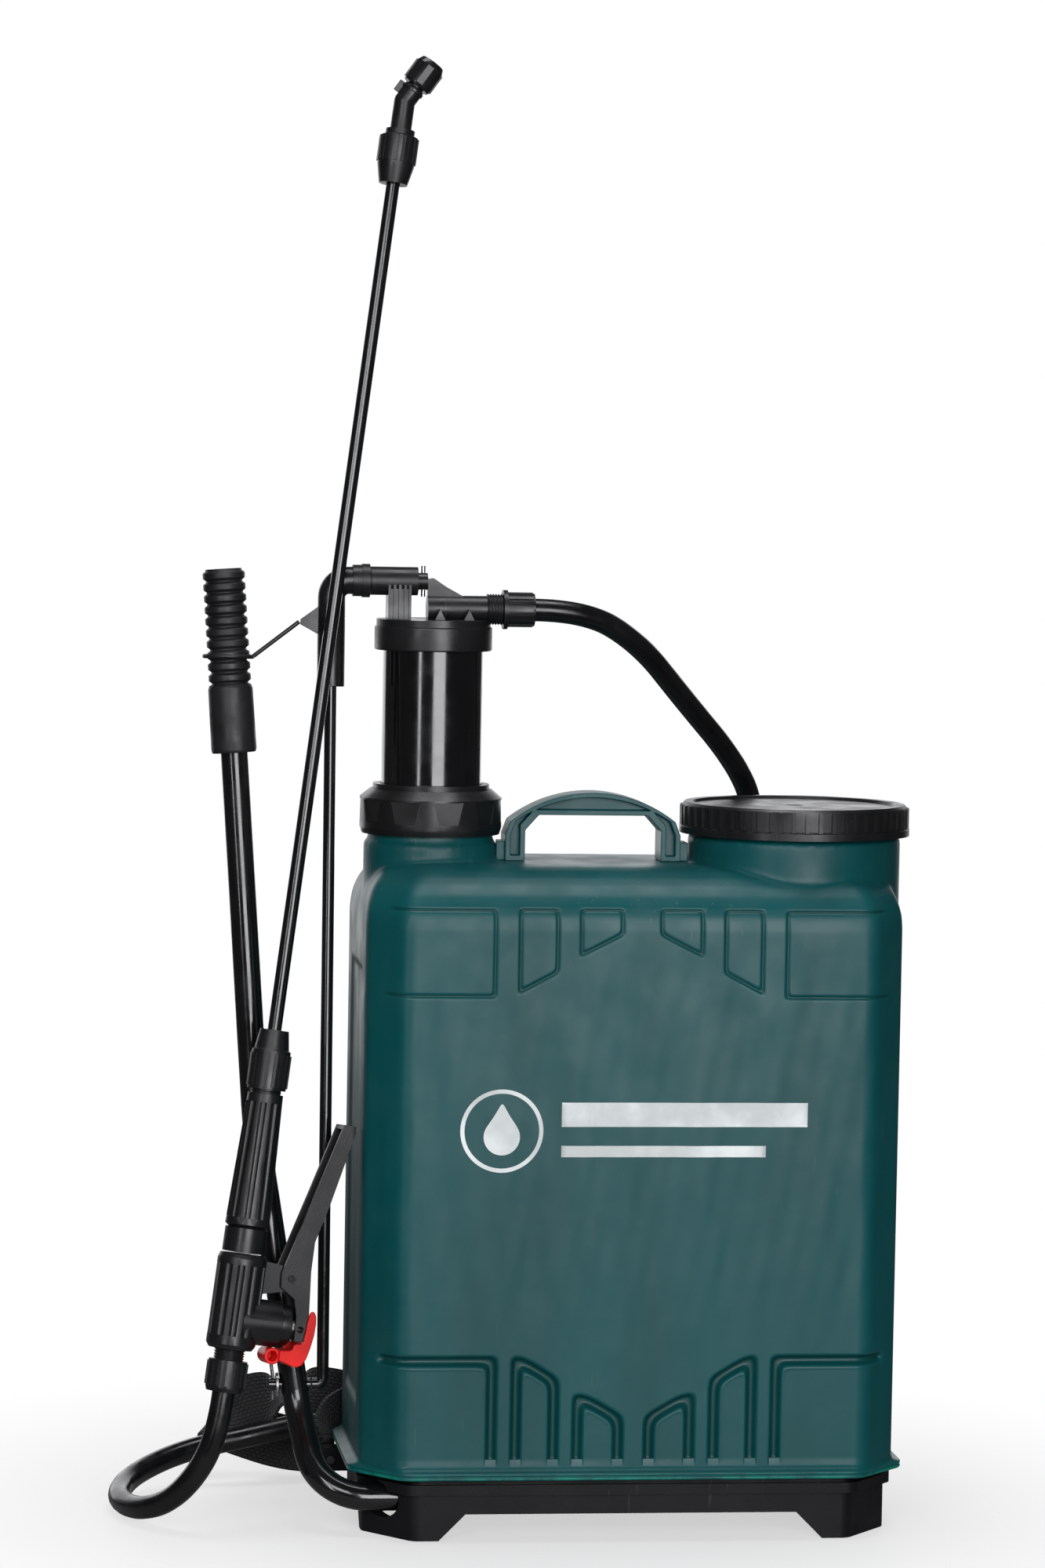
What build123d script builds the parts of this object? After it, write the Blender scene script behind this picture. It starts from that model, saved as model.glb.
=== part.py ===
from build123d import *
import math
import os

os.makedirs("parts", exist_ok=True)

# Backpack sprayer, standing on the floor. Millimetres, +Z up, the front of the tank faces -Y.
# Parts are laid out about the middle of the tank, then moved so that the origin is the
# bottom centre of everything but the hose.
ORIGIN_X = -43.0
ORIGIN_Y = 20.0

# Tank
TANK_HALF_X = 157.0
TANK_HALF_Y = 82.0
TANK_CUT = (21.0, 25.0)
TANK_CORNER = 12.0
TANK_WALL = 3.0
TANK_BOTTOM = 36.0
SHOULDER_Z = 354.0
TANK_TOP = 388.0
SHOULDER_X = 22.0
SHOULDER_Y = 42.0
LIP_HALF_X = 163.0
LIP_HALF_Y = 87.0
LIP_CUT = (32.0, 35.0)
LIP_TOP = 40.0

# Base
BASE_HALF_X = 154.0
BASE_HALF_Y = 80.0
BASE_CUT = (27.0, 32.0)
BASE_WALL = 4.0
BASE_PLATE = 32.0
HOOK_X = 164.0
ARCH_TOP = 15.5
FRONT_ARCH = 112.0
SIDE_ARCH = 38.0
BUSHES = (-100.0, -44.0)
SCREWS = [(-120.0, 40.0), (-120.0, -25.0), (120.0, 40.0), (120.0, -40.0)]

# Pump: the air chamber slides in a cylinder that hangs in the tank
PUMP_X = -115.0
PUMP_Y = 0.0
COLUMN_R = 39.0
COLUMN_TOP = 398.0
NECK_R = 36.5
NECK_BORE = 33.7
NECK_TOP = 420.0
NUT_R = 41.6
NUT_Z = (403.0, 432.0)
CHAMBER_R = 29.5
CHAMBER_BORE = 27.5
CYLINDER_BORE = 31.2
CYLINDER_R = 33.2
CYLINDER_FOOT = 207.0
PISTON_Z = (284.0, 300.0)
COLLAR_R = 34.4
COLLAR_Z = (510.0, 524.0)
OUTLET_Z = 534.2
OUTLET_END = -56.0

# Filler
LID_X = 100.0
LID_Y = -6.0
LID_R = 67.8
LID_Z = (405.0, 423.0)
LID_RIBS = 54
FILLER_R = 62.5
FILLER_NECK_R = 57.5
FILLER_BORE = 52.0
FILLER_NECK_TOP = 417.0

# Carry handle
HANDLE_X = -20.7
HANDLE_Y = -4.0
HANDLE_HALF = 51.7
HANDLE_TOP = 428.3
HANDLE_GRIP = 415.0
HANDLE_LEG = 11.6
HANDLE_DEPTH = 24.0

# Lever, connecting rod and rocker
SHAFT = (-60.0, 22.0)
CRANK_R = 71.5
CRANK_ANGLE = 35.0
LEVER_R = 8.0
LEVER_BORE = 6.5
CRANK_X = -190.5
HEAD_PIVOT_Z = 550.0
ROD_X = -175.0
ELBOW_BEND = 10.0
ROD_R = 3.5
GRIP_LOW = 449.0
GRIP_TOP = 556.0
GRIP_RINGS = 10

# Wand, in its own frame: z along the lance, x towards the trigger
WAND_FOOT = Vector(-235.0, -62.0, 88.0)
WAND_LEAN = Vector(0.1347, 0.107, 1.0)
TRIGGER_SIDE = 12.0
LANCE_R = 4.0
TRIGGER_PIVOT = (28.6, 65.4)
TAIL_PIN = (38.0, 37.0)
STEM_S = 38.2
BOSS_R = 13.3
NOZZLE_S = 752.0
NOZZLE_TILT = 36.0

# Hose
HOSE_R = 6.75

# Harness
PAD_X = 48.0
PAD_WIDTH = 52.0
PAD_THICK = 11.0
PAD_Z = (112.0, 338.0)
WEB_WIDTH = 38.0
WEB_THICK = 2.0

UP = (Align.CENTER, Align.CENTER, Align.MIN)

crank_y = SHAFT[0] + CRANK_R * math.sin(math.radians(CRANK_ANGLE))
crank_z = SHAFT[1] + CRANK_R * math.cos(math.radians(CRANK_ANGLE))
rod_tilt = -math.degrees(math.atan2(PUMP_Y - crank_y, HEAD_PIVOT_Z - crank_z))
rod_length = math.hypot(PUMP_Y - crank_y, HEAD_PIVOT_Z - crank_z)

nodes = {}


def disc(radius, low, high, x=0.0, y=0.0):
    return Pos(x, y, low) * Cylinder(radius, high - low, align=UP)


def ring(outer, inner, low, high, x=0.0, y=0.0):
    return disc(outer, low, high, x, y) - disc(inner, low - 1, high + 1, x, y)


def bar(start, end, radius):
    """A round bar from one point to another."""
    axis = Vector(*end) - Vector(*start)
    return Plane(origin=start, z_dir=axis) * Cylinder(radius, axis.length, align=UP)


def turned(outline):
    """Solid of revolution about Z from (radius, height) points."""
    wire = Polyline(*[(r, 0, z) for r, z in outline], close=True)
    return revolve(make_face(wire), Axis.Z)


def block(low, high):
    size = [high[i] - low[i] for i in range(3)]
    middle = [(high[i] + low[i]) / 2 for i in range(3)]
    return Pos(*middle) * Box(*size)


def plan(half_x, half_y, cut, corner, z=0.0):
    """Rectangle with cut and rounded corners, lying at height z."""
    cx, cy = cut
    corners = [(half_x, half_y - cy), (half_x - cx, half_y), (cx - half_x, half_y), (-half_x, half_y - cy),
               (-half_x, cy - half_y), (cx - half_x, -half_y), (half_x - cx, -half_y), (half_x, cy - half_y)]
    face = make_face(Polyline(*corners, close=True))
    return Pos(0, 0, z) * fillet(face.vertices(), corner)


def prism(outline, low, high, plane=Plane.XZ):
    """Outline in a plane, pushed along the plane's normal from low to high."""
    face = make_face(Polyline(*outline, close=True))
    return plane * Pos(0, 0, low) * extrude(face, high - low)


def tank_body(inset):
    """Body of the tank with its rounded shoulders, all faces moved in by inset."""
    half_x = TANK_HALF_X - inset
    half_y = TANK_HALF_Y - inset
    foot = plan(half_x, half_y, TANK_CUT, TANK_CORNER, TANK_BOTTOM + inset)
    walls = extrude(foot, SHOULDER_Z - TANK_BOTTOM - inset)
    rings = []
    for step in range(6):
        turn = math.radians(step * 18.0)
        drop_x = SHOULDER_X * (1 - math.cos(turn))
        drop_y = SHOULDER_Y * (1 - math.cos(turn))
        height = SHOULDER_Z + (TANK_TOP - inset - SHOULDER_Z) * math.sin(turn)
        rings.append(plan(half_x - drop_x, half_y - drop_y, TANK_CUT, TANK_CORNER, height))
    return walls + loft(rings, ruled=True)


def tank_shell():
    outer = tank_body(0)
    outer += extrude(plan(LIP_HALF_X, LIP_HALF_Y, LIP_CUT, 10, TANK_BOTTOM), LIP_TOP - TANK_BOTTOM)
    outer += disc(COLUMN_R, SHOULDER_Z, COLUMN_TOP, PUMP_X, PUMP_Y)
    outer += disc(NECK_R, SHOULDER_Z, NECK_TOP, PUMP_X, PUMP_Y)
    outer += disc(FILLER_R, SHOULDER_Z, LID_Z[0] - 1.5, LID_X, LID_Y)
    outer += disc(FILLER_NECK_R, SHOULDER_Z, FILLER_NECK_TOP, LID_X, LID_Y)
    inner = tank_body(TANK_WALL)
    inner += disc(NECK_BORE, SHOULDER_Z - 20, NECK_TOP + 1, PUMP_X, PUMP_Y)
    inner += disc(FILLER_BORE, SHOULDER_Z - 20, FILLER_NECK_TOP + 1, LID_X, LID_Y)
    shell = outer - inner
    for x, y in SCREWS:
        shell += disc(6, TANK_BOTTOM + 1, TANK_BOTTOM + 16, x, y)
    for x, y in SCREWS:
        shell -= disc(2.05, TANK_BOTTOM - 1, TANK_BOTTOM + 13, x, y)
    return shell


def handle_arch(trim):
    """Outside of the handle in its own plane, moved in by trim, with the hand gap cut out."""
    edge = HANDLE_HALF - trim
    foot = TANK_TOP + 0.2 + trim
    low, high = HANDLE_TOP - 25, HANDLE_TOP - 17
    line = Polyline((3 - edge, high), (-edge, low), (-edge, foot), (edge, foot), (edge, low), (edge - 3, high))
    over = ThreePointArc((edge - 3, high), (0, HANDLE_TOP - trim), (3 - edge, high))
    outside = make_face(line + over)
    inner = HANDLE_HALF - HANDLE_LEG + trim
    grip = HANDLE_GRIP + trim
    gap = [(-inner, foot - 9), (inner, foot - 9), (inner, grip - 9), (inner - 8, grip), (8 - inner, grip),
           (-inner, grip - 9)]
    return outside - make_face(Polyline(*gap, close=True))


def carry_handle():
    place = Plane(origin=(HANDLE_X, HANDLE_Y, 0), x_dir=(1, 0, 0), z_dir=(0, -1, 0))
    body = Pos(0, 0, -HANDLE_DEPTH / 2) * extrude(handle_arch(0), HANDLE_DEPTH)
    for low in (HANDLE_DEPTH / 2 - 6, -HANDLE_DEPTH / 2 - 1):
        body -= Pos(0, 0, low) * extrude(handle_arch(3), 7)
    body = place * body
    foot = TANK_TOP + 0.2
    for side in (-1, 1):
        inner = HANDLE_X + side * (HANDLE_HALF - 1)
        outer = HANDLE_X + side * (HANDLE_HALF + 5)
        body += block((min(inner, outer), HANDLE_Y - 8, foot), (max(inner, outer), HANDLE_Y + 8, foot + 11))
    body -= disc(COLUMN_R + 0.2, foot - 1, NUT_Z[0] - 1, PUMP_X, PUMP_Y)
    body -= disc(NUT_R + 0.4, NUT_Z[0] - 1, HANDLE_TOP + 1, PUMP_X, PUMP_Y)
    body -= disc(FILLER_R + 0.2, foot - 1, LID_Z[0] - 1, LID_X, LID_Y)
    return body - disc(LID_R + 0.5, LID_Z[0] - 1, HANDLE_TOP + 1, LID_X, LID_Y)


def base_skirt():
    outer = extrude(plan(BASE_HALF_X, BASE_HALF_Y, BASE_CUT, 9), TANK_BOTTOM)
    outer += extrude(plan(BASE_HALF_X + 3, BASE_HALF_Y + 3, BASE_CUT, 9, 27), 6)
    cavity = extrude(plan(BASE_HALF_X - BASE_WALL, BASE_HALF_Y - BASE_WALL, BASE_CUT, 7, -1), BASE_PLATE + 1)
    skirt = outer - cavity
    for half, plane, reach in ((FRONT_ARCH, Plane.XZ, 100), (SIDE_ARCH, Plane.YZ, 180)):
        rise = ARCH_TOP
        outline = [(-half, -1), (half, -1), (half, 0), (half - rise, rise), (rise - half, rise), (-half, 0)]
        skirt -= prism(outline, -reach, reach, plane)
    for x in BUSHES:
        skirt += block((x - 4, 1 - BASE_HALF_Y, ARCH_TOP), (x + 4, SHAFT[0] + 16, BASE_PLATE + 1))
        skirt -= bar((x - 5, SHAFT[0], SHAFT[1]), (x + 5, SHAFT[0], SHAFT[1]), 9.25)
    skirt -= bar((-170, SHAFT[0], SHAFT[1]), (-120, SHAFT[0], SHAFT[1]), 11.5)
    for x, y in SCREWS:
        skirt -= disc(2.3, BASE_PLATE - 1, TANK_BOTTOM + 1, x, y)
    for side in (-1, 1):
        lug = block((BASE_HALF_X - 1, 46, 16), (HOOK_X + 5, 58, 30))
        lug -= bar((HOOK_X, 40, 23), (HOOK_X, 64, 23), 2.6)
        skirt += lug if side > 0 else mirror(lug, Plane.YZ)
    return skirt


def base_screws():
    group = []
    for x, y in SCREWS:
        group.append(disc(5, BASE_PLATE - 3, BASE_PLATE, x, y) + disc(2.0, BASE_PLATE, TANK_BOTTOM + 12, x, y))
    return Compound(children=group)


def shaft_bushes():
    group = []
    for x in BUSHES:
        outer = bar((x - 6, SHAFT[0], SHAFT[1]), (x + 6, SHAFT[0], SHAFT[1]), 9.2)
        group.append(outer - bar((x - 7, SHAFT[0], SHAFT[1]), (x + 7, SHAFT[0], SHAFT[1]), LEVER_R + 0.06))
    return Compound(children=group)


def pump_cylinder():
    wall = ring(CYLINDER_R, CYLINDER_BORE, CYLINDER_FOOT, NECK_TOP + 4, PUMP_X, PUMP_Y)
    return wall + ring(NECK_R - 0.3, CYLINDER_BORE, NECK_TOP + 1.5, NECK_TOP + 4.5, PUMP_X, PUMP_Y)


def pump_nut():
    low, high = NUT_Z
    profile = [(NECK_R + 0.4, low), (NUT_R - 1.2, low), (NUT_R, low + 4), (NUT_R, high - 8), (NUT_R - 6, high - 3),
               (NUT_R - 7.5, high - 3), (NUT_R - 7.5, high), (CHAMBER_R + 0.5, high),
               (CHAMBER_R + 0.5, high - 7), (NECK_R + 0.4, high - 7)]
    nut = Pos(PUMP_X, PUMP_Y, 0) * turned(profile)
    recess = prism([(-6, 7), (6, 7), (9, 20), (-9, 20)], NUT_R - 1.2, NUT_R + 2)
    for step in range(10):
        nut -= Pos(PUMP_X, PUMP_Y, low) * Rot(0, 0, step * 36.0 + 9) * recess
    return nut


def inlet_valve():
    foot = CYLINDER_FOOT
    profile = [(9, foot - 14), (24, foot - 14), (CYLINDER_R, foot - 6), (CYLINDER_R, foot), (10, foot), (7, foot - 6)]
    return Pos(PUMP_X, PUMP_Y, 0) * turned(profile)


def inlet_strainer():
    foot = CYLINDER_FOOT
    cup = ring(22, 20, foot - 40, foot - 14, PUMP_X, PUMP_Y) + disc(22, foot - 42, foot - 40, PUMP_X, PUMP_Y)
    for step in range(8):
        slot = block((15, -2, foot - 36), (25, 2, foot - 18))
        cup -= Pos(PUMP_X, PUMP_Y, 0) * Rot(0, 0, step * 45.0) * slot
    return cup


def filler_strainer():
    low = 346.0
    basket = ring(49.5, 47.5, low, FILLER_NECK_TOP, LID_X, LID_Y)
    basket += disc(49.5, low - 2, low, LID_X, LID_Y)
    for step in range(12):
        slot = block((40, -8, low + 6), (60, 8, low + 50))
        basket -= Pos(LID_X, LID_Y, 0) * Rot(0, 0, step * 30.0) * slot
    return basket + ring(57, 47.5, FILLER_NECK_TOP, FILLER_NECK_TOP + 1.5, LID_X, LID_Y)


def filler_lid():
    low, high = LID_Z
    profile = [(58.2, low), (LID_R, low), (LID_R, low + 4), (LID_R - 1.6, low + 5), (LID_R - 1.6, high - 1.5),
               (LID_R - 3, high), (LID_R - 8, high), (LID_R - 9, high - 1.6), (5, high - 1.6), (5, high - 3.2),
               (58.2, high - 3.2)]
    lid = turned(profile)
    rib = block((LID_R - 2.6, -1.1, low + 4.5), (LID_R - 0.3, 1.1, high - 2))
    for step in range(LID_RIBS):
        lid += Rot(0, 0, step * 360.0 / LID_RIBS) * rib
    return Pos(LID_X, LID_Y, 0) * lid


def lid_vent():
    high = LID_Z[1]
    stem = disc(4.9, high - 7, high - 1.8, LID_X, LID_Y)
    return stem + disc(7.5, high - 7, high - 3.4, LID_X, LID_Y)


def chamber_head():
    """Cap of the air chamber with the rocker bearing and the outlet."""
    low = COLLAR_Z[1]
    head = disc(COLLAR_R - 1, low, low + 4, PUMP_X, PUMP_Y)
    head += bar((-152.4, PUMP_Y, HEAD_PIVOT_Z), (-124.8, PUMP_Y, HEAD_PIVOT_Z), 8.3)
    head += block((-142.5, PUMP_Y - 7, low + 2), (-129, PUMP_Y + 7, HEAD_PIVOT_Z - 2))
    for x in (-141.8, -138.7, -135.6, -132.5, -129.7):
        head += block((x - 0.7, PUMP_Y - 8.2, low + 2), (x + 0.7, PUMP_Y + 8.2, HEAD_PIVOT_Z - 2))
    rib = [(-118.8, low + 2), (-118.8, 551.5), (-115.5, 552), (-108, 547), (-88, OUTLET_Z + 2), (-81, OUTLET_Z - 2),
           (-81, low + 2)]
    head += prism(rib, -3 - PUMP_Y, 3 - PUMP_Y)
    head += bar((-119, PUMP_Y, OUTLET_Z), (-66, PUMP_Y, OUTLET_Z), 7.8)
    for x in (-112.5, -95.5):
        gusset = [(x - 3.5, low + 3), (x + 3.5, low + 3), (x, OUTLET_Z)]
        head += prism(gusset, -14 - PUMP_Y, 14 - PUMP_Y)
    head -= bar((-160, PUMP_Y, HEAD_PIVOT_Z), (-120, PUMP_Y, HEAD_PIVOT_Z), 5.0)
    head -= bar((-108, PUMP_Y, OUTLET_Z), (-60, PUMP_Y, OUTLET_Z), 3.5)
    head -= disc(3.5, low - 1, OUTLET_Z, -105, PUMP_Y)
    return head


def outlet_nut():
    sleeve = turned([(8.0, 0), (11.5, 0), (11.5, 2.6), (9.6, 2.6), (9.6, 18.5), (7.0, 18.5), (7.0, 10), (8.0, 10)])
    rib = block((8.8, -0.9, 2.6), (10.2, 0.9, 17.5))
    for step in range(16):
        sleeve += Rot(0, 0, step * 22.5) * rib
    start = OUTLET_END - 18.5
    return Plane(origin=(start, PUMP_Y, OUTLET_Z), x_dir=(0, 1, 0), z_dir=(1, 0, 0)) * sleeve


def outlet_barb():
    tube = bar((-65.8, PUMP_Y, OUTLET_Z), (OUTLET_END, PUMP_Y, OUTLET_Z), 5.2)
    return tube - bar((-67, PUMP_Y, OUTLET_Z), (OUTLET_END + 1, PUMP_Y, OUTLET_Z), 3.5)


def air_chamber():
    low, high = PISTON_Z[1], COLLAR_Z[1]
    return ring(CHAMBER_R, CHAMBER_BORE, low, high, PUMP_X, PUMP_Y)


def piston():
    low, high = PISTON_Z
    profile = [(5, low), (26, low), (26, low + 8), (CHAMBER_R, low + 8), (CHAMBER_R, high), (12, high), (5, high - 7)]
    return Pos(PUMP_X, PUMP_Y, 0) * turned(profile)


def piston_cup():
    low = PISTON_Z[0]
    profile = [(26.1, low), (28.5, low), (CYLINDER_BORE - 0.06, low + 3), (CYLINDER_BORE - 0.06, low + 7.9),
               (26.1, low + 7.9)]
    return Pos(PUMP_X, PUMP_Y, 0) * turned(profile)


# The link: rocker elbow, sleeve and rod, drawn hanging straight down from the head pivot
def on_link(shape):
    return Pos(0, PUMP_Y, HEAD_PIVOT_Z) * Rot(rod_tilt, 0, 0) * shape


def rocker_elbow():
    bend = ROD_X + ELBOW_BEND
    elbow = bar((-152.9, 0, 0), (bend, 0, 0), 8.0) + bar((-152.9, 0, 0), (bend + 2, 0, 0), 9.2)
    start = Pos(ROD_X, 0, -ELBOW_BEND) * Circle(8.0)
    elbow += revolve(start, Axis((bend, 0, -ELBOW_BEND), (0, 1, 0)), 90)
    elbow += bar((ROD_X, 0, -ELBOW_BEND), (ROD_X, 0, -22), 8.0)
    elbow += bar((-157.5, 0, 0), (-152.9, 0, 0), 9.8)
    elbow += bar((-154, 0, 0), (-119, 0, 0), 4.94)
    tab = [(ROD_X - 3, -16), (ROD_X - 7, -15), (-193, -23.0), (-193, -26), (ROD_X - 7, -32), (ROD_X - 3, -31)]
    elbow += prism(tab, -2, 2)
    elbow -= bar((ROD_X, 0, -22), (ROD_X, 0, -33), 8.05)
    return on_link(elbow)


def rod_sleeve():
    sleeve = bar((ROD_X, 0, -22), (ROD_X, 0, -62), 8.0) - bar((ROD_X, 0, -21), (ROD_X, 0, -63), ROD_R + 0.03)
    return on_link(sleeve)


def connecting_rod():
    path = FilletPolyline((ROD_X, 0, -24), (ROD_X, 0, -rod_length), (ROD_X - 6.2, 0, -rod_length), radius=3.8)
    start = Plane(origin=(ROD_X, 0, -24), z_dir=(0, 0, -1))
    return on_link(sweep(start * Circle(ROD_R), path=path))


def head_clip():
    return on_link(bar((-121.5, 0, 9), (-121.5, 0, 5.0), 1.3) + bar((-121.5, 0, -5.0), (-121.5, 0, -9), 1.3))


# The lever: a bent tube, its lower leg is the shaft in the base
LEVER_ROUTE = [
    (-28.0, SHAFT[0], SHAFT[1]),
    (-180.0, SHAFT[0], SHAFT[1]),
    (CRANK_X + 1.0, crank_y - 0.9, crank_z - 13.5),
    (-215.0, crank_y + 8.0, 225.0),
    (-238.0, 0.0, GRIP_TOP - 4),
]
LEVER_BENDS = [34.0, 34.0, 400.0]


def lever_sweep(radius):
    path = FilletPolyline(*LEVER_ROUTE, radius=LEVER_BENDS)
    start = Plane(origin=LEVER_ROUTE[0], z_dir=(-1, 0, 0))
    return sweep(start * Circle(radius), path=path)


def lever_tube():
    tube = lever_sweep(LEVER_R) - lever_sweep(LEVER_BORE)
    return tube - bar((CRANK_X - 20, crank_y, crank_z), (CRANK_X + 20, crank_y, crank_z), ROD_R + 0.1)


def grip_frame():
    low, high = Vector(*LEVER_ROUTE[-2]), Vector(*LEVER_ROUTE[-1])
    along = (high - low).normalized()
    foot = high - along * ((GRIP_TOP - 4 - GRIP_LOW) / along.Z)
    return Plane(origin=foot, z_dir=along)


def lever_grip():
    length = GRIP_TOP - GRIP_LOW
    bore = LEVER_R + 0.02
    profile = [(bore, 0), (12.6, 0), (13.2, 2), (13.0, 37), (12.2, 39.5), (10.6, 40)]
    pitch = (length - 41.0) / GRIP_RINGS
    for step in range(GRIP_RINGS):
        low = 40.5 + step * pitch
        profile += [(10.6, low + 0.4), (12.3, low + 1.6), (12.3, low + pitch - 1.8), (10.6, low + pitch - 0.6)]
    profile += [(10.6, length), (0, length), (0, length - 2.5), (bore, length - 2.5)]
    return grip_frame() * turned(profile)


def rod_pin():
    """Pin through the lever, in line with the rod's lower end."""
    return bar((CRANK_X + 8.2, crank_y, crank_z), (CRANK_X - 16, crank_y, crank_z), ROD_R)


def rod_washer():
    outer = bar((CRANK_X - 10.6, crank_y, crank_z), (CRANK_X - 12.0, crank_y, crank_z), 7.0)
    return outer - bar((CRANK_X - 9, crank_y, crank_z), (CRANK_X - 13, crank_y, crank_z), ROD_R + 0.05)


def rod_cotter():
    x = CRANK_X - 13.6
    leg = bar((x, crank_y, crank_z + ROD_R + 0.1), (x - 1.5, crank_y, crank_z + 14), 1.0)
    return leg + bar((x, crank_y, crank_z - ROD_R - 0.1), (x, crank_y + 1, crank_z - 9), 1.0)


def lever_strap():
    frame = grip_frame()
    loop = frame * Pos(0, 0, 56) * Rot(0, 4, 0) * Torus(14.0, 1.25)
    knot = frame.from_local_coords(Vector(14.0, 0, 55.0))
    tilt = math.radians(rod_tilt)
    tip = (-193.8, PUMP_Y + 24.5 * math.sin(tilt), HEAD_PIVOT_Z - 24.5 * math.cos(tilt))
    return loop + bar(tuple(knot), tip, 1.25)


# The wand
def wand_frame():
    along = WAND_LEAN.normalized()
    side = Vector(math.cos(math.radians(TRIGGER_SIDE)), math.sin(math.radians(TRIGGER_SIDE)), 0)
    side = (side - along * side.dot(along)).normalized()
    return Plane(origin=WAND_FOOT, x_dir=side, z_dir=along)


WAND = wand_frame()


def ribbed(radius, low, high, count, rib=0.8):
    """Ribs of a hand nut, round the lance axis."""
    shape = None
    for step in range(count):
        one = Rot(0, 0, step * 360.0 / count) * block((radius - 1.2, -0.9, low), (radius + rib, 0.9, high))
        shape = one if shape is None else shape + one
    return shape


def hose_nut():
    nut = turned([(7.0, -3.5), (10.4, -3.5), (11.2, -1), (11.2, 14.7), (8.5, 14.7), (8.5, 4), (7.0, 4)])
    return WAND * (nut + ribbed(11.2, 0, 13.5, 14))


def wand_barb():
    spigot = turned([(3.5, -3.5), (5.2, -3.5), (5.2, 3), (8.0, 5), (8.0, 21.3), (3.5, 21.3)])
    return WAND * spigot


def valve_body():
    body = turned([(5.0, 21.3), (12.6, 21.3), (14.3, 24), (14.3, 73), (13.2, 76), (5.0, 76)])
    for step in range(12):
        flute = bar((15.4, 0, 29), (15.4, 0, 70), 2.5)
        body -= Rot(0, 0, step * 30.0 + 15) * flute
    body += bar((0, 0, STEM_S), (26, 0, STEM_S), BOSS_R)
    lug = [(10, 54), (10, 74), (25, 72), (33, 68), (33, 62), (28, 58)]
    body += prism(lug, -5, 5)
    body -= bar((0, 0, 20), (0, 0, 80), 5.0)
    body -= bar((4, 0, STEM_S), (26.5, 0, STEM_S), 9.0)
    body -= bar((TRIGGER_PIVOT[0], -6, TRIGGER_PIVOT[1]), (TRIGGER_PIVOT[0], 6, TRIGGER_PIVOT[1]), 2.02)
    return WAND * body


def valve_bonnet():
    cap = bar((26, 0, STEM_S), (32, 0, STEM_S), BOSS_R - 1.5)
    return WAND * (cap - bar((25, 0, STEM_S), (33, 0, STEM_S), 3.06))


def valve_stem():
    stem = bar((7, 0, STEM_S), (36, 0, STEM_S), 3.0)
    stem += bar((7, 0, STEM_S), (10, 0, STEM_S), 7.5)
    stem += bar((34.5, -5.7, STEM_S), (34.5, 5.7, STEM_S), 1.8)
    return WAND * stem


def trigger_pin():
    x, s = TRIGGER_PIVOT
    return WAND * bar((x, -9.2, s), (x, 9.2, s), 2.0)


def trigger():
    cheek = [(47.4, 157), (54.5, 157), (55.0, 153), (45, 108), (39.6, 88), (39.7, 71), (42.1, 45), (41.3, 30),
             (35.2, 30), (34.6, 44), (32, 54), (23, 60), (22.4, 68)]
    shape = prism(cheek, -8, 8)
    channel = [(x - 2.6, s if s < 150 else s - 2.5) for x, s in cheek] + [(10, 40)]
    inner = make_face(Polyline(*channel, close=True))
    shape -= Plane.XZ * Pos(0, 0, -6.0) * extrude(inner, 12.0)
    x, s = TRIGGER_PIVOT
    shape -= bar((x, -10, s), (x, 10, s), 2.05)
    shape -= bar((TAIL_PIN[0], -10, TAIL_PIN[1]), (TAIL_PIN[0], 10, TAIL_PIN[1]), 1.85)
    return WAND * shape


def trigger_lock():
    """Clip that straddles the trigger's tail and hooks under the valve boss."""
    arm = [(27.4, 16.4), (31, 16.0), (35, 14.6), (39, 14.6), (41.8, 16.4), (43.8, 20.5), (45.6, 27), (46.6, 34),
           (46.5, 41), (45.4, 44.6), (43.8, 45.8), (42.2, 45), (41.4, 42), (36.6, 40.6), (35.5, 38), (35.5, 28),
           (34.2, 25.6), (27.4, 24)]
    lock = prism(arm, -10.4, 10.4)
    lock -= block((27, -8.3, 26.5), (50, 8.3, 60))
    hook = bar((23.5, -8, 19.4), (23.5, 8, 19.4), 5.0) - bar((23.5, -9, 19.4), (23.5, 9, 19.4), 2.9)
    lock += hook
    x, s = TAIL_PIN
    for side in (-1, 1):
        lock += bar((x, side * 6.3, s), (x, side * 10.4, s), 1.8)
    return WAND * lock


def wand_grip():
    flutes = 10
    grip = turned([(5.0, 77), (12.4, 77), (12.4, 91), (10.5, 91), (12.9, 93), (10.2, 169), (8.6, 169), (8.6, 176),
                   (4.08, 176), (4.08, 160), (5.0, 160)])
    for step in range(flutes):
        cut = bar((14.6, 0, 97), (11.9, 0, 164), 2.6)
        grip -= Rot(0, 0, step * 360.0 / flutes) * cut
    return WAND * grip


def wand_filter():
    mesh = turned([(3.2, 82), (4.4, 82), (4.4, 150), (3.2, 150)])
    return WAND * mesh


def lance_nut():
    nut = turned([(8.7, 171.5), (11.2, 171.5), (11.2, 194), (10.0, 195), (8.4, 206), (4.1, 206), (4.1, 178),
                  (8.7, 178)])
    return WAND * (nut + ribbed(11.2, 173, 192, 16))


def lance_tube():
    return WAND * (ring(LANCE_R, 2.8, 162, 716))


def nozzle_nut():
    nut = turned([(4.1, 703), (8.4, 703), (10.8, 714), (10.8, 731), (8.5, 732), (8.5, 735), (6.4, 735), (6.4, 717),
                  (4.1, 717)])
    return WAND * (nut + ribbed(10.8, 715.5, 730.5, 16))


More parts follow.
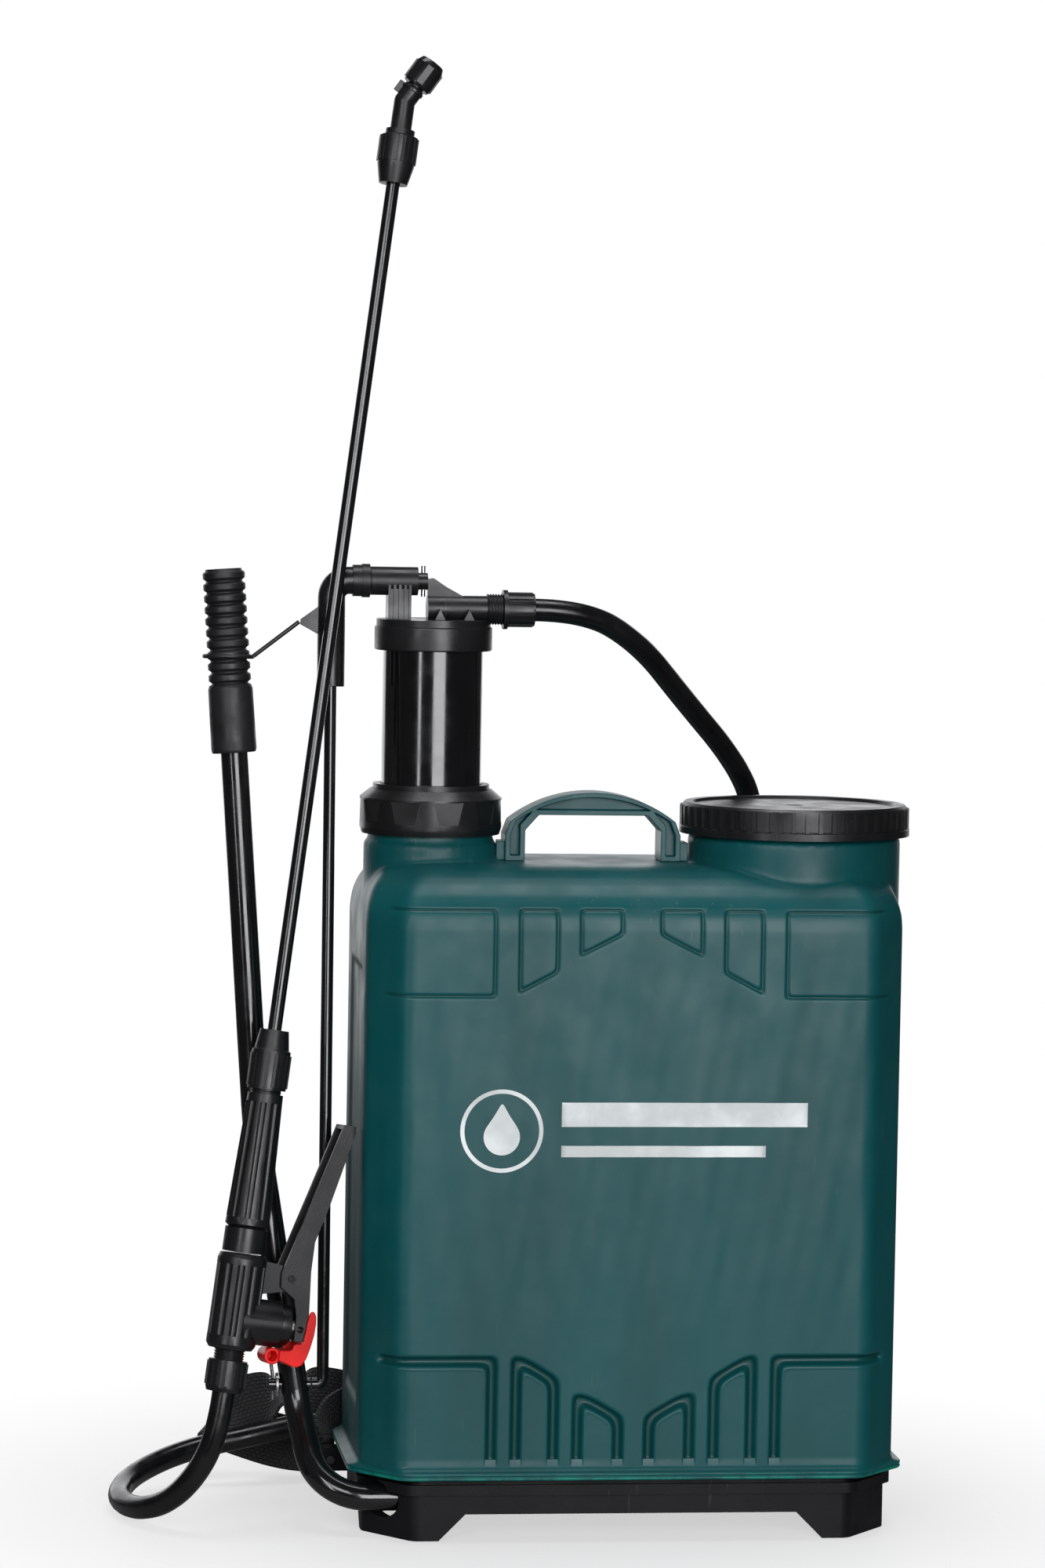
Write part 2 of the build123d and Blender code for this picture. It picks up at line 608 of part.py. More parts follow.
def nozzle_frame():
    bend = WAND.from_local_coords(Vector(0, 0, NOZZLE_S))
    turn = math.radians(NOZZLE_TILT)
    axis = Vector(math.sin(turn), 0.04, math.cos(turn)).normalized()
    return Plane(origin=bend, x_dir=Vector(math.cos(turn), 0, -math.sin(turn)), z_dir=axis)


NOZZLE = nozzle_frame()


def nozzle_elbow():
    straight = WAND * disc(6.2, 718, NOZZLE_S)
    knee = Pos(*NOZZLE.origin) * Sphere(6.2)
    arm = NOZZLE * (disc(6.2, 0, 10) + disc(6.8, 7, 9) + disc(5.0, 9, 19))
    fin = NOZZLE * block((-9.5, -1, 2), (-5, 1, 9))
    body = straight + knee + arm + fin
    return body - WAND * disc(2.2, 717, NOZZLE_S) - NOZZLE * disc(2.2, 0, 20)


def swirl_core():
    return NOZZLE * (disc(4.9, 19.3, 23) - disc(0.8, 18, 24))


def nozzle_cap():
    cap = turned([(5.06, 11), (8.0, 11), (8.6, 12.5), (8.6, 25), (7.2, 28), (1.2, 28), (1.2, 24), (5.06, 23.4)])
    for step in range(8):
        cap += Rot(0, 0, step * 45.0) * block((7.6, -2.0, 12.5), (9.3, 2.0, 24.5))
    return NOZZLE * cap


# The hose, in two lengths that meet behind the tank
HOSE_UPPER = [
    (OUTLET_END, PUMP_Y, OUTLET_Z),
    (-25, PUMP_Y, OUTLET_Z),
    (10, 17, 514),
    (39, 45, 482.5),
    (76.5, 73, 443),
    (92, 87.5, 413.5),
    (96, 99.5, 352),
    (99, 102.5, 306),
    (98, 104, 251),
]
HOSE_LOWER = [
    (98, 104, 251),
    (97, 106.5, 196),
    (82, 110, 142),
    (46, 112, 98),
    (-4, 111, 68),
    (-60, 110, 52),
    (-114, 107, 44),
    (-162, 99, 38),
    (-206, 88, 30),
    (-250, 82, 22),
    (-282, 55, 13),
    (-294, 14, 8),
    (-283, -25, 8),
    (-264, -49, 18),
    (-247, -63, 41),
    tuple(WAND.from_local_coords(Vector(0, 0, -22))),
    tuple(WAND.from_local_coords(Vector(0, 0, -3.5))),
]


def hose(name, route):
    points = [Vector(*point) for point in route]
    runs = [points[i + 1] - points[i] for i in range(len(points) - 1)]
    radii = []
    for before, after in zip(runs, runs[1:]):
        half_turn = math.radians(before.get_angle(after)) / 2
        radii.append(0.45 * min(before.length, after.length) / math.tan(half_turn))
    path = FilletPolyline(*points, radius=radii)
    tube = sweep(Plane(origin=points[0], z_dir=runs[0]) * Circle(HOSE_R), path=path)
    print(name, "length", round(path.length), "volume", round(tube.volume),
          "section x length", round(math.pi * HOSE_R ** 2 * path.length))
    print(name, "radii", [round(radius) for radius in radii], "runs", [round(run.length) for run in runs])
    return tube


# The harness
def band(points, across):
    """Flat webbing through the points, its width lying along the direction across."""
    shape = None
    for start, end in zip(points, points[1:]):
        along = Vector(*end) - Vector(*start)
        width = Vector(*across)
        width = (width - along.normalized() * width.dot(along.normalized())).normalized()
        frame = Plane(origin=start, x_dir=width, z_dir=along)
        piece = frame * Box(WEB_WIDTH, WEB_THICK, along.length, align=UP)
        shape = piece if shape is None else shape + piece
    return shape


def shoulder_pad(side):
    low, high = PAD_Z
    pad = block((PAD_X - PAD_WIDTH / 2, 84, low), (PAD_X + PAD_WIDTH / 2, 84 + PAD_THICK, high))
    pad = fillet(pad.edges().filter_by(Axis.Y), 14)
    return pad if side > 0 else mirror(pad, Plane.YZ)


def strap_webbing():
    group = []
    for side in (-1, 1):
        x = side * PAD_X
        group.append(block((x - WEB_WIDTH / 2, 89, PAD_Z[1] + 0.3), (x + WEB_WIDTH / 2, 91, 346)))
        low = [(x, 90, PAD_Z[0] - 0.3), (x, 90, 92), (side * 101, 90, 60)]
        group.append(band(low, (1, 0, 0.5 * side)))
    return Compound(children=group)


def strap_tails():
    """Webbing round the back corners of the tank, down to the base hooks."""
    group = []
    for side in (-1, 1):
        face = [(side * 134, 90.5, 50), (side * 146, 90.5, 47), (side * 168, 78, 42), (side * 168, 65, 38)]
        shape = None
        for start, end in zip(face, face[1:]):
            along = Vector(*end) - Vector(*start)
            frame = Plane(origin=start, x_dir=Vector(0, 0, 1), z_dir=along)
            piece = frame * Box(22, 2, along.length, align=UP)
            shape = piece if shape is None else shape + piece
        group.append(shape)
    return Compound(children=group)


def strap_buckles():
    group = []
    for side in (-1, 1):
        x = side * 119.5
        frame = block((x - 11.0, 87.5, 41), (x + 11.0, 94.5, 69))
        frame -= block((x - 7.5, 87, 46), (x - 1.5, 95, 64))
        frame -= block((x + 1.5, 87, 46), (x + 7.5, 95, 64))
        group.append(frame)
    return Compound(children=group)


def strap_anchor():
    plate = block((-70, TANK_HALF_Y + 0.1, 348), (70, TANK_HALF_Y + 2.6, 354))
    for side in (-1, 1):
        x = side * PAD_X
        plate += block((x - 24, TANK_HALF_Y + 0.1, 346.3), (x + 24, TANK_HALF_Y + 10, 356))
        plate -= block((x - 20, TANK_HALF_Y + 3.2, 345), (x + 20, TANK_HALF_Y + 6.8, 358))
    return plate


def base_hooks():
    group = []
    for side in (-1, 1):
        x = side * HOOK_X
        pin = bar((x, 44, 23), (x, 62, 23), 2.5)
        pin += block((x - 3.5, 60.5, 18), (x + 3.5, 64, 35))
        group.append(pin)
    return Compound(children=group)


def strap_bundle():
    """Spare webbing folded into loops, standing on the floor behind the lever."""
    group = []
    for x, wide, tall, y in ((-198, 58, 68, 105.0), (-193, 44, 50, 118.0)):
        loop = extrude(RectangleRounded(wide, tall, wide / 2 - 3), 12)
        group.append(Plane(origin=(x, y, tall / 2), x_dir=(1, 0, 0), z_dir=(0, 1, 0)) * loop)
    return Compound(children=group)


nodes["tank_shell"] = tank_shell()
nodes["carry_handle"] = carry_handle()
nodes["base_skirt"] = base_skirt()
nodes["base_screws"] = base_screws()
nodes["shaft_bushes"] = shaft_bushes()
nodes["pump_cylinder"] = pump_cylinder()
nodes["cylinder_gasket"] = ring(NECK_R - 0.3, NECK_BORE, NECK_TOP, NECK_TOP + 1.5, PUMP_X, PUMP_Y)
nodes["inlet_valve"] = inlet_valve()
nodes["inlet_ball"] = Pos(PUMP_X, PUMP_Y, CYLINDER_FOOT + 2.6) * Sphere(7.5)
nodes["inlet_strainer"] = inlet_strainer()
nodes["pump_nut"] = pump_nut()
nodes["filler_strainer"] = filler_strainer()
nodes["strap_anchor"] = strap_anchor()
nodes["shoulder_pad_left"] = shoulder_pad(-1)
nodes["shoulder_pad_right"] = shoulder_pad(1)
nodes["strap_webbing"] = strap_webbing()
nodes["strap_tails"] = strap_tails()
nodes["strap_buckles"] = strap_buckles()
nodes["base_hooks"] = base_hooks()
nodes["strap_bundle"] = strap_bundle()
nodes["hose_upper"] = hose("hose_upper", HOSE_UPPER)
nodes["hose_lower"] = hose("hose_lower", HOSE_LOWER)

nodes["air_chamber"] = air_chamber()
nodes["chamber_collar"] = ring(COLLAR_R, CHAMBER_R + 0.05, *COLLAR_Z, PUMP_X, PUMP_Y)
nodes["chamber_head"] = chamber_head()
nodes["dip_tube"] = ring(4.5, 3.3, PISTON_Z[1] + 12, COLLAR_Z[1], -105, PUMP_Y)
nodes["piston"] = piston()
nodes["piston_cup"] = piston_cup()
nodes["check_ball"] = Pos(PUMP_X, PUMP_Y, PISTON_Z[1] - 0.5) * Sphere(7.0)
nodes["outlet_nut"] = outlet_nut()
nodes["outlet_barb"] = outlet_barb()

nodes["rocker_elbow"] = rocker_elbow()
nodes["rod_sleeve"] = rod_sleeve()
nodes["connecting_rod"] = connecting_rod()
nodes["head_clip"] = head_clip()

nodes["lever_tube"] = lever_tube()
nodes["lever_grip"] = lever_grip()
nodes["rod_pin"] = rod_pin()
nodes["rod_washer"] = rod_washer()
nodes["rod_cotter"] = rod_cotter()
nodes["lever_strap"] = lever_strap()

nodes["lid_gasket"] = ring(57, 52, FILLER_NECK_TOP + 1.6, FILLER_NECK_TOP + 2.6, LID_X, LID_Y)
nodes["filler_lid"] = filler_lid()
nodes["lid_vent"] = lid_vent()

nodes["hose_nut"] = hose_nut()
nodes["wand_barb"] = wand_barb()
nodes["valve_body"] = valve_body()
nodes["valve_bonnet"] = valve_bonnet()
nodes["wand_grip"] = wand_grip()
nodes["wand_filter"] = wand_filter()
nodes["lance_nut"] = lance_nut()
nodes["lance_tube"] = lance_tube()
nodes["nozzle_nut"] = nozzle_nut()
nodes["nozzle_elbow"] = nozzle_elbow()
nodes["swirl_core"] = swirl_core()
nodes["trigger_pin"] = trigger_pin()
nodes["nozzle_cap"] = nozzle_cap()
nodes["trigger"] = trigger()
nodes["valve_stem"] = valve_stem()
nodes["trigger_lock"] = trigger_lock()

to_origin = Location((-ORIGIN_X, -ORIGIN_Y, 0))
for name, shape in nodes.items():
    export_step(shape.moved(to_origin), f"parts/{name}.step")
print(len(nodes), "nodes")
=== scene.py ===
import math

import bmesh
import bpy
import numpy as np
from mathutils import Matrix, Vector


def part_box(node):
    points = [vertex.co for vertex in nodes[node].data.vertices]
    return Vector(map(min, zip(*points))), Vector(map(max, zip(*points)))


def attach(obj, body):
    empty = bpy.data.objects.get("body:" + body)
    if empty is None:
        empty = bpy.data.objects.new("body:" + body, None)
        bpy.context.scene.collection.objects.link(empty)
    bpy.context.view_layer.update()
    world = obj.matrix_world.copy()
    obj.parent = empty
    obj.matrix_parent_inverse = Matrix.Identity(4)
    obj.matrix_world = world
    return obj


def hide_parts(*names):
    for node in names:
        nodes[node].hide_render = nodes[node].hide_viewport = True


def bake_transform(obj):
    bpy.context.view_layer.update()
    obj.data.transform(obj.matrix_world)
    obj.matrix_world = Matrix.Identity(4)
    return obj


# Backpack sprayer. Sizes are in millimetres about the middle of the tank's foot and are turned
# into metres in the row frame by place().
MM = 0.001

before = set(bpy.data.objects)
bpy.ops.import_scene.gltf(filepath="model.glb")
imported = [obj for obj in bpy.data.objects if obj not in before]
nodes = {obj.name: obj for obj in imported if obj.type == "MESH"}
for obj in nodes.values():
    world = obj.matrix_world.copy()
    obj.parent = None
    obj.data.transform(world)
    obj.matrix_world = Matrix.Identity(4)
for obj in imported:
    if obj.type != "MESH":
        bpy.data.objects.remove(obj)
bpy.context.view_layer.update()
tank_low, tank_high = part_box("tank_shell")
MIDDLE = Vector(((tank_low.x + tank_high.x) / 2, (tank_low.y + tank_high.y) / 2, 0))


def place(x, y, z):
    return MIDDLE + Vector((x, y, z)) * MM


def to_mm(points):
    """Row-frame points as millimetres about the middle of the tank's foot."""
    return (points - np.array(MIDDLE)) / MM


# Camera -----------------------------------------------------------------------------------------
AZIMUTH, ELEVATION, ROLL = (math.radians(angle) for angle in (-7.0, 3.7, 1.0))
DISTANCE = 3.0
FRAME_HEIGHT = 0.92
TARGET = place(-61, 0, 432)


def make_camera():
    back = Vector((math.sin(AZIMUTH) * math.cos(ELEVATION), -math.cos(AZIMUTH) * math.cos(ELEVATION),
                   math.sin(ELEVATION)))
    right = Vector((math.cos(AZIMUTH), math.sin(AZIMUTH), 0))
    up = back.cross(right)
    across = right * math.cos(ROLL) + up * math.sin(ROLL)
    upward = up * math.cos(ROLL) - right * math.sin(ROLL)
    camera = bpy.data.objects.new("camera", bpy.data.cameras.new("camera"))
    turn = Matrix((across, upward, back)).transposed().to_4x4()
    camera.matrix_world = Matrix.Translation(TARGET + back * DISTANCE) @ turn
    camera.data.lens = camera.data.sensor_width * DISTANCE / FRAME_HEIGHT
    bpy.context.scene.collection.objects.link(camera)
    bpy.context.scene.camera = camera


make_camera()


# Materials --------------------------------------------------------------------------------------
class Paint:
    """One procedural material: a Principled shader whose inputs are built up by the methods."""

    def __init__(self, name):
        self.material = bpy.data.materials.new(name)
        self.material.use_nodes = True
        self.tree = self.material.node_tree
        self.shader = self.tree.nodes["Principled BSDF"]
        self.where = self.add("ShaderNodeTexCoord").outputs["Object"]
        self.normal = None

    def add(self, kind, values=(), **settings):
        node = self.tree.nodes.new(kind)
        for key, value in settings.items():
            setattr(node, key, value)
        for key, value in dict(values).items():
            self.feed(node.inputs[key], value)
        return node

    def feed(self, socket, value):
        if isinstance(value, bpy.types.NodeSocket):
            self.tree.links.new(value, socket)
        else:
            socket.default_value = value

    def stretched(self, scale, turn=(0, 0, 0)):
        mapping = self.add("ShaderNodeMapping", {"Vector": self.where, "Scale": scale, "Rotation": turn})
        return mapping.outputs["Vector"]

    def noise(self, scale, detail=3.0, rough=0.5, where=None):
        values = {"Vector": where or self.where, "Scale": scale, "Detail": detail, "Roughness": rough}
        return self.add("ShaderNodeTexNoise", values).outputs["Fac"]

    def spread(self, value, low, high, start, end):
        """value from low..high taken to start..end, smoothly."""
        values = {"Value": value, "From Min": low, "From Max": high, "To Min": start, "To Max": end}
        return self.add("ShaderNodeMapRange", values, interpolation_type="SMOOTHSTEP").outputs["Result"]

    def mixed(self, share, first, second):
        node = self.add("ShaderNodeMix", data_type="RGBA")
        for socket, value in zip((node.inputs[0], node.inputs[6], node.inputs[7]), (share, first, second)):
            self.feed(socket, value)
        return node.outputs[2]

    def product(self, first, second, operation="MULTIPLY"):
        node = self.add("ShaderNodeMath", operation=operation)
        self.feed(node.inputs[0], first)
        self.feed(node.inputs[1], second)
        return node.outputs[0]

    def attribute(self, name):
        return self.add("ShaderNodeAttribute", attribute_name=name).outputs["Fac"]

    def bump(self, height, strength, distance):
        values = {"Height": height, "Strength": strength, "Distance": distance}
        if self.normal:
            values["Normal"] = self.normal
        self.normal = self.add("ShaderNodeBump", values).outputs["Normal"]

    def done(self, colour, roughness, **constants):
        self.feed(self.shader.inputs["Base Color"], colour)
        self.feed(self.shader.inputs["Roughness"], roughness)
        if self.normal:
            self.feed(self.shader.inputs["Normal"], self.normal)
        for key, value in constants.items():
            self.shader.inputs[key.replace("_", " ")].default_value = value
        return self.material


def shade(colour, factor):
    return (*[channel * factor for channel in colour], 1.0)


def scratches(paint, scale, turn, low=0.66, high=0.74, length=0.045):
    """Thin streaks: noise drawn out along one direction and cut off high up."""
    streaks = paint.noise(scale, 2.0, 0.6, paint.stretched((1, 1, length), turn))
    patches = paint.spread(paint.noise(14, 2.0), 0.48, 0.62, 0.0, 1.0)
    return paint.product(paint.spread(streaks, low, high, 0.0, 1.0), patches)


def moulded(name, colour, rough=0.42, grain=1500, depth=0.22, dust=0.5, coat=0.0, specular=0.5):
    """Injection-moulded plastic: fine spark-eroded grain, faint flow marks, scuffs and dust."""
    paint = Paint(name)
    flow = paint.noise(22, 4.0, 0.55)
    base = paint.mixed(paint.spread(flow, 0.35, 0.65, 0.0, 1.0), shade(colour, 0.82), shade(colour, 1.25))
    scuff = scratches(paint, 420, (0.5, 0.9, 0.3))
    specks = paint.spread(paint.noise(640, 1.0), 0.72, 0.78, 0.0, 1.0)
    worn = paint.product(scuff, dust)
    dusty = paint.product(specks, 0.35 * dust)
    pale = tuple(min(1.0, channel * 2.2 + 0.05) for channel in colour)
    base = paint.mixed(worn, base, shade(pale, 1.0))
    base = paint.mixed(dusty, base, shade(pale, 1.3))
    paint.bump(paint.noise(grain, 2.0), depth, 0.00012)
    paint.bump(scuff, 0.25, -0.00008)
    paint.bump(flow, 0.1, 0.0012)
    roughness = paint.spread(paint.noise(55, 3.0), 0.3, 0.7, rough - 0.07, rough + 0.09)
    return paint.done(base, roughness, Coat_Weight=coat, Coat_Roughness=0.12, Specular_IOR_Level=specular)


def tank_paint():
    """Blow-moulded polyethylene: waxy green with painted shade in the grooves and engraved lines, with rubs
    and short scratches.
    """
    green = (0.0010, 0.079, 0.086)
    paint = Paint("tank_green")
    streak = paint.noise(15, 4.0, 0.55, paint.stretched((1, 1, 0.22)))
    base = paint.mixed(paint.spread(streak, 0.3, 0.7, 0.0, 1.0), shade(green, 0.86), shade(green, 1.14))
    cloud = paint.spread(paint.noise(30, 5.0, 0.6), 0.46, 0.74, 0.0, 0.30)
    base = paint.mixed(cloud, base, (0.016, 0.104, 0.112, 1.0))
    # Painted shade: the grooves and engraved lines are darkened towards a deep green.
    groove_shade = paint.attribute("groove_shade")
    base = paint.mixed(paint.product(groove_shade, 0.6), base, (0.0, 0.038, 0.034, 1.0))
    ragged = paint.spread(paint.noise(46, 5.0, 0.65), 0.40, 0.62, 0.08, 1.0)
    thin = paint.product(paint.attribute("thin"), ragged)
    base = paint.mixed(thin, base, (0.0, 0.235, 0.175, 1.0))
    short = scratches(paint, 420, (0.1, 0.25, 0.0), 0.69, 0.73, 0.10)
    other = scratches(paint, 470, (0.2, -0.7, 0.4), 0.70, 0.74, 0.12)
    high = paint.add("ShaderNodeSeparateXYZ", {"Vector": paint.where}).outputs["Z"]
    share = paint.spread(high, 0.30, 0.375, 0.25, 1.0)
    scuff = paint.product(paint.product(short, other, "MAXIMUM"), share)
    base = paint.mixed(paint.product(scuff, 0.40), base, (0.13, 0.22, 0.21, 1.0))
    specks = paint.spread(paint.noise(520, 1.0), 0.755, 0.80, 0.0, 0.35)
    base = paint.mixed(specks, base, (0.02, 0.16, 0.14, 1.0))
    paint.bump(paint.noise(900, 3.0, 0.6), 0.12, 0.00016)
    paint.bump(scuff, 0.25, -0.0001)
    paint.bump(paint.noise(60, 3.0), 0.08, 0.0010)
    roughness = paint.spread(paint.noise(42, 4.0), 0.3, 0.7, 0.37, 0.47)
    return paint.done(base, roughness, Specular_IOR_Level=0.38)


def enamel(name, colour, rough=0.16):
    """Glossy stoved paint on steel tube, with a little orange peel."""
    paint = Paint(name)
    peel = paint.noise(260, 2.0)
    scuff = scratches(paint, 380, (0.05, 0.1, 0.0), 0.68, 0.75)
    uneven = paint.spread(paint.noise(30), 0.3, 0.7, 0.0, 1.0)
    base = paint.mixed(uneven, shade(colour, 0.8), shade(colour, 1.3))
    base = paint.mixed(paint.product(scuff, 0.35), base, (0.11, 0.11, 0.115, 1.0))
    paint.bump(peel, 0.12, 0.0003)
    roughness = paint.spread(paint.noise(70, 3.0), 0.3, 0.7, rough - 0.05, rough + 0.10)
    return paint.done(base, roughness, Coat_Weight=0.5, Coat_Roughness=0.08)


def rubber(name, colour, rough=0.5, grain=0.12):
    """Rubber or soft vinyl with a faint bloom."""
    paint = Paint(name)
    bloom = paint.spread(paint.noise(45, 4.0), 0.4, 0.7, 0.0, 0.5)
    base = paint.mixed(bloom, shade(colour, 0.9), shade(colour, 1.9))
    paint.bump(paint.noise(600, 3.0), grain, 0.0001)
    roughness = paint.spread(paint.noise(80), 0.3, 0.7, rough - 0.08, rough + 0.10)
    return paint.done(base, roughness, Specular_IOR_Level=0.5)


def plated(name, colour, rough=0.3):
    """Zinc-plated steel: spangled and a little dulled."""
    paint = Paint(name)
    spangle = paint.noise(420, 4.0)
    base = paint.mixed(paint.spread(spangle, 0.35, 0.65, 0.0, 1.0), shade(colour, 0.7), shade(colour, 1.1))
    paint.bump(spangle, 0.2, 0.0002)
    roughness = paint.spread(paint.noise(150), 0.3, 0.7, rough - 0.08, rough + 0.18)
    return paint.done(base, roughness, Metallic=1.0)


def woven(name, colour, pitch, flat):
    """Woven polypropylene: staggered pips, from the strap's own UV or from X and Z on the pads, with painted
    shade between the pips and painted light on them.
    """
    paint = Paint(name)
    if flat:
        source = paint.add("ShaderNodeUVMap", uv_map="UVMap").outputs["UV"]
    else:
        source = paint.stretched((1, 1, 1), (math.radians(90), 0, 0))
    values = {"Vector": source, "Scale": 1.0, "Mortar Size": pitch * 0.32, "Mortar Smooth": 1.0,
              "Brick Width": pitch * 1.25, "Row Height": pitch * 0.85, "Bias": 0.0}
    bricks = paint.add("ShaderNodeTexBrick", values, offset=0.5).outputs["Fac"]
    valley_bump_and_shade = paint.spread(bricks, 0.0, 1.0, 0.0, 1.0)
    fuzz = paint.noise(2400, 2.0)
    # Painted shade and painted light: the same black is made much darker in the valleys between the pips and
    # lighter on the pips.
    base = paint.mixed(valley_bump_and_shade, shade(colour, 2.0), shade(colour, 0.15))
    base = paint.mixed(paint.spread(paint.noise(60), 0.4, 0.75, 0.0, 0.4), base, shade(colour, 2.3))
    paint.bump(valley_bump_and_shade, 0.9, -0.0007)
    paint.bump(fuzz, 0.35, 0.0002)
    roughness = paint.spread(fuzz, 0.3, 0.7, 0.62, 0.88)
    return paint.done(base, roughness, Sheen_Weight=0.25, Sheen_Roughness=0.45)


PAINTS = {
    "tank_plastic": tank_paint(),
    "base_plastic": moulded("base_black", (0.0075, 0.0075, 0.0088), 0.45, 1100, 0.3, 0.5, 0.0, 0.2),
    "black_plastic": moulded("moulded_black", (0.0085, 0.0085, 0.0092), 0.34, 1500, 0.22, 0.45),
    "gloss_black": moulded("polished_black", (0.004, 0.004, 0.0045), 0.13, 500, 0.03, 0.2, 0.6),
    "painted_steel": enamel("black_enamel", (0.006, 0.006, 0.0065)),
    "zinc": plated("zinc_plate", (0.52, 0.52, 0.53)),
    "nylon": moulded("natural_nylon", (0.52, 0.52, 0.49), 0.4, 1200, 0.2, 0.2),
    "seal_rubber": rubber("seal_rubber", (0.012, 0.012, 0.012), 0.6),
    "grip_rubber": rubber("grip_rubber", (0.0125, 0.0125, 0.0135), 0.46),
    "strap_rubber": rubber("strap_rubber", (0.010, 0.010, 0.011), 0.42),
    "hose": rubber("hose_rubber", (0.0055, 0.0055, 0.006), 0.24, 0.03),
    "pad_fabric": woven("pad_weave", (0.013, 0.013, 0.0145), 0.0021, False),
    "webbing": woven("webbing_weave", (0.010, 0.010, 0.011), 0.0026, True),
    "trigger_plastic": moulded("trigger_black", (0.0125, 0.0125, 0.0135), 0.40, 900, 0.4, 0.3),
    "print_ink": moulded("white_print", (0.82, 0.86, 0.86), 0.45, 1500, 0.1, 0.25),
    "red_plastic": moulded("red_plastic", (0.86, 0.010, 0.008), 0.36, 1300, 0.1, 0.1, 0.0, 0.3),
}


def finished(obj, slot):
    obj.data.materials.clear()
    obj.data.materials.append(PAINTS[slot])


# CAD nodes: new materials and slightly rounded edges -----------------------------------------------
EDGE = {"carry_handle": 1.0, "base_skirt": 1.2, "pump_nut": 0.8, "filler_lid": 0.45, "chamber_collar": 1.0,
        "chamber_head": 0.8, "rocker_elbow": 0.8, "rod_sleeve": 0.5, "valve_body": 0.9, "wand_grip": 0.5,
        "trigger": 0.7, "trigger_lock": 0.7, "valve_bonnet": 0.8, "hose_nut": 0.4, "lance_nut": 0.4,
        "nozzle_nut": 0.4, "nozzle_cap": 0.5, "nozzle_elbow": 0.4, "outlet_nut": 0.4, "lever_grip": 0.4,
        "strap_buckles": 0.6, "strap_anchor": 0.8, "rod_washer": 0.2, "base_hooks": 0.5}


def plain_normals():
    """Node group that drops the imported normals, so that the rounded edges shade as they are."""
    group = bpy.data.node_groups.new("plain_normals", "GeometryNodeTree")
    for side in ("INPUT", "OUTPUT"):
        group.interface.new_socket("Geometry", in_out=side, socket_type="NodeSocketGeometry")
    last = group.nodes.new("NodeGroupInput").outputs[0]
    for name in ("custom_normal", "sharp_edge"):
        removed = group.nodes.new("GeometryNodeRemoveAttribute")
        removed.inputs["Name"].default_value = name
        group.links.new(last, removed.inputs["Geometry"])
        last = removed.outputs["Geometry"]
    group.links.new(last, group.nodes.new("NodeGroupOutput").inputs[0])
    return group


def soften(obj, width, group):
    obj.modifiers.new("normals", "NODES").node_group = group
    obj.modifiers.new("weld", "WELD").merge_threshold = 0.002 * MM
    flat = obj.modifiers.new("flat_faces", "DECIMATE")
    flat.decimate_type = "DISSOLVE"
    flat.angle_limit = math.radians(0.6)
    edge = obj.modifiers.new("edges", "BEVEL")
    edge.width = width * MM
    edge.segments = 2
    edge.limit_method = "ANGLE"
    edge.angle_limit = math.radians(32)
    edge.miter_outer = "MITER_ARC"
    weighted = obj.modifiers.new("shading", "WEIGHTED_NORMAL")
    weighted.keep_sharp = True


normals = plain_normals()
for name, node in nodes.items():
    for material_slot in node.material_slots:
        material_slot.material = PAINTS[material_slot.material.name]
    if name == "base_hooks":
        node.material_slots[0].material = PAINTS["painted_steel"]
    if name in EDGE:
        soften(node, EDGE[name], normals)

# Hoses ------------------------------------------------------------------------------------------
HOSE_DIAMETER = 0.0135
HOSE_UPPER = [
    (-0.056, 0, 0.5342), (-0.025, 0, 0.5342), (0.010, 0.017, 0.514), (0.039, 0.045, 0.4825),
    (0.0765, 0.073, 0.443), (0.092, 0.0875, 0.4135), (0.096, 0.0995, 0.352), (0.099, 0.1025, 0.306),
    (0.098, 0.104, 0.251),
]
HOSE_LOWER = [
    (0.098, 0.104, 0.251), (0.097, 0.1065, 0.196), (0.082, 0.110, 0.142), (0.046, 0.112, 0.098),
    (-0.004, 0.111, 0.068), (-0.060, 0.110, 0.052), (-0.114, 0.107, 0.044), (-0.162, 0.099, 0.038),
    (-0.206, 0.088, 0.030), (-0.250, 0.082, 0.022), (-0.282, 0.055, 0.013), (-0.294, 0.014, 0.008),
    (-0.283, -0.025, 0.008), (-0.264, -0.049, 0.018), (-0.247, -0.063, 0.041),
    (-0.2379, -0.0643, 0.0663), (-0.2355, -0.0624, 0.08455),
]


def hose(name, route):
    """A hose on one smooth curve through its route."""
    line = bpy.data.curves.new(name + "_line", "CURVE")
    line.dimensions = "3D"
    spline = line.splines.new("NURBS")
    spline.points.add(len(route) - 1)
    for point, spot in zip(spline.points, route):
        point.co = (*(MIDDLE + Vector(spot)), 1)
    spline.order_u = 3
    spline.use_endpoint_u = True
    spline.resolution_u = 14
    holder = bpy.data.objects.new(name + "_line", line)
    centre = [vertex.co.copy() for vertex in bpy.data.meshes.new_from_object(holder).vertices]
    line.bevel_depth = HOSE_DIAMETER / 2
    line.bevel_resolution = 7
    line.use_fill_caps = True
    tube = bpy.data.objects.new(name + "_tube", bpy.data.meshes.new_from_object(holder))
    bpy.data.objects.remove(holder)
    bpy.context.scene.collection.objects.link(tube)
    for polygon in tube.data.polygons:
        polygon.use_smooth = True
    finished(tube, "hose")
    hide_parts(name)
    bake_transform(tube)


hose("hose_upper", HOSE_UPPER)
hose("hose_lower", HOSE_LOWER)


# Mesh helpers -------------------------------------------------------------------------------------
def mesh_object(name, points, faces, smooth=True):
    """A mesh from millimetre points about the tank's foot."""
    mesh = bpy.data.meshes.new(name)
    mesh.from_pydata([place(*point) for point in points], [], faces)
    mesh.polygons.foreach_set("use_smooth", [smooth] * len(mesh.polygons))
    obj = bpy.data.objects.new(name, mesh)
    bpy.context.scene.collection.objects.link(obj)
    return obj


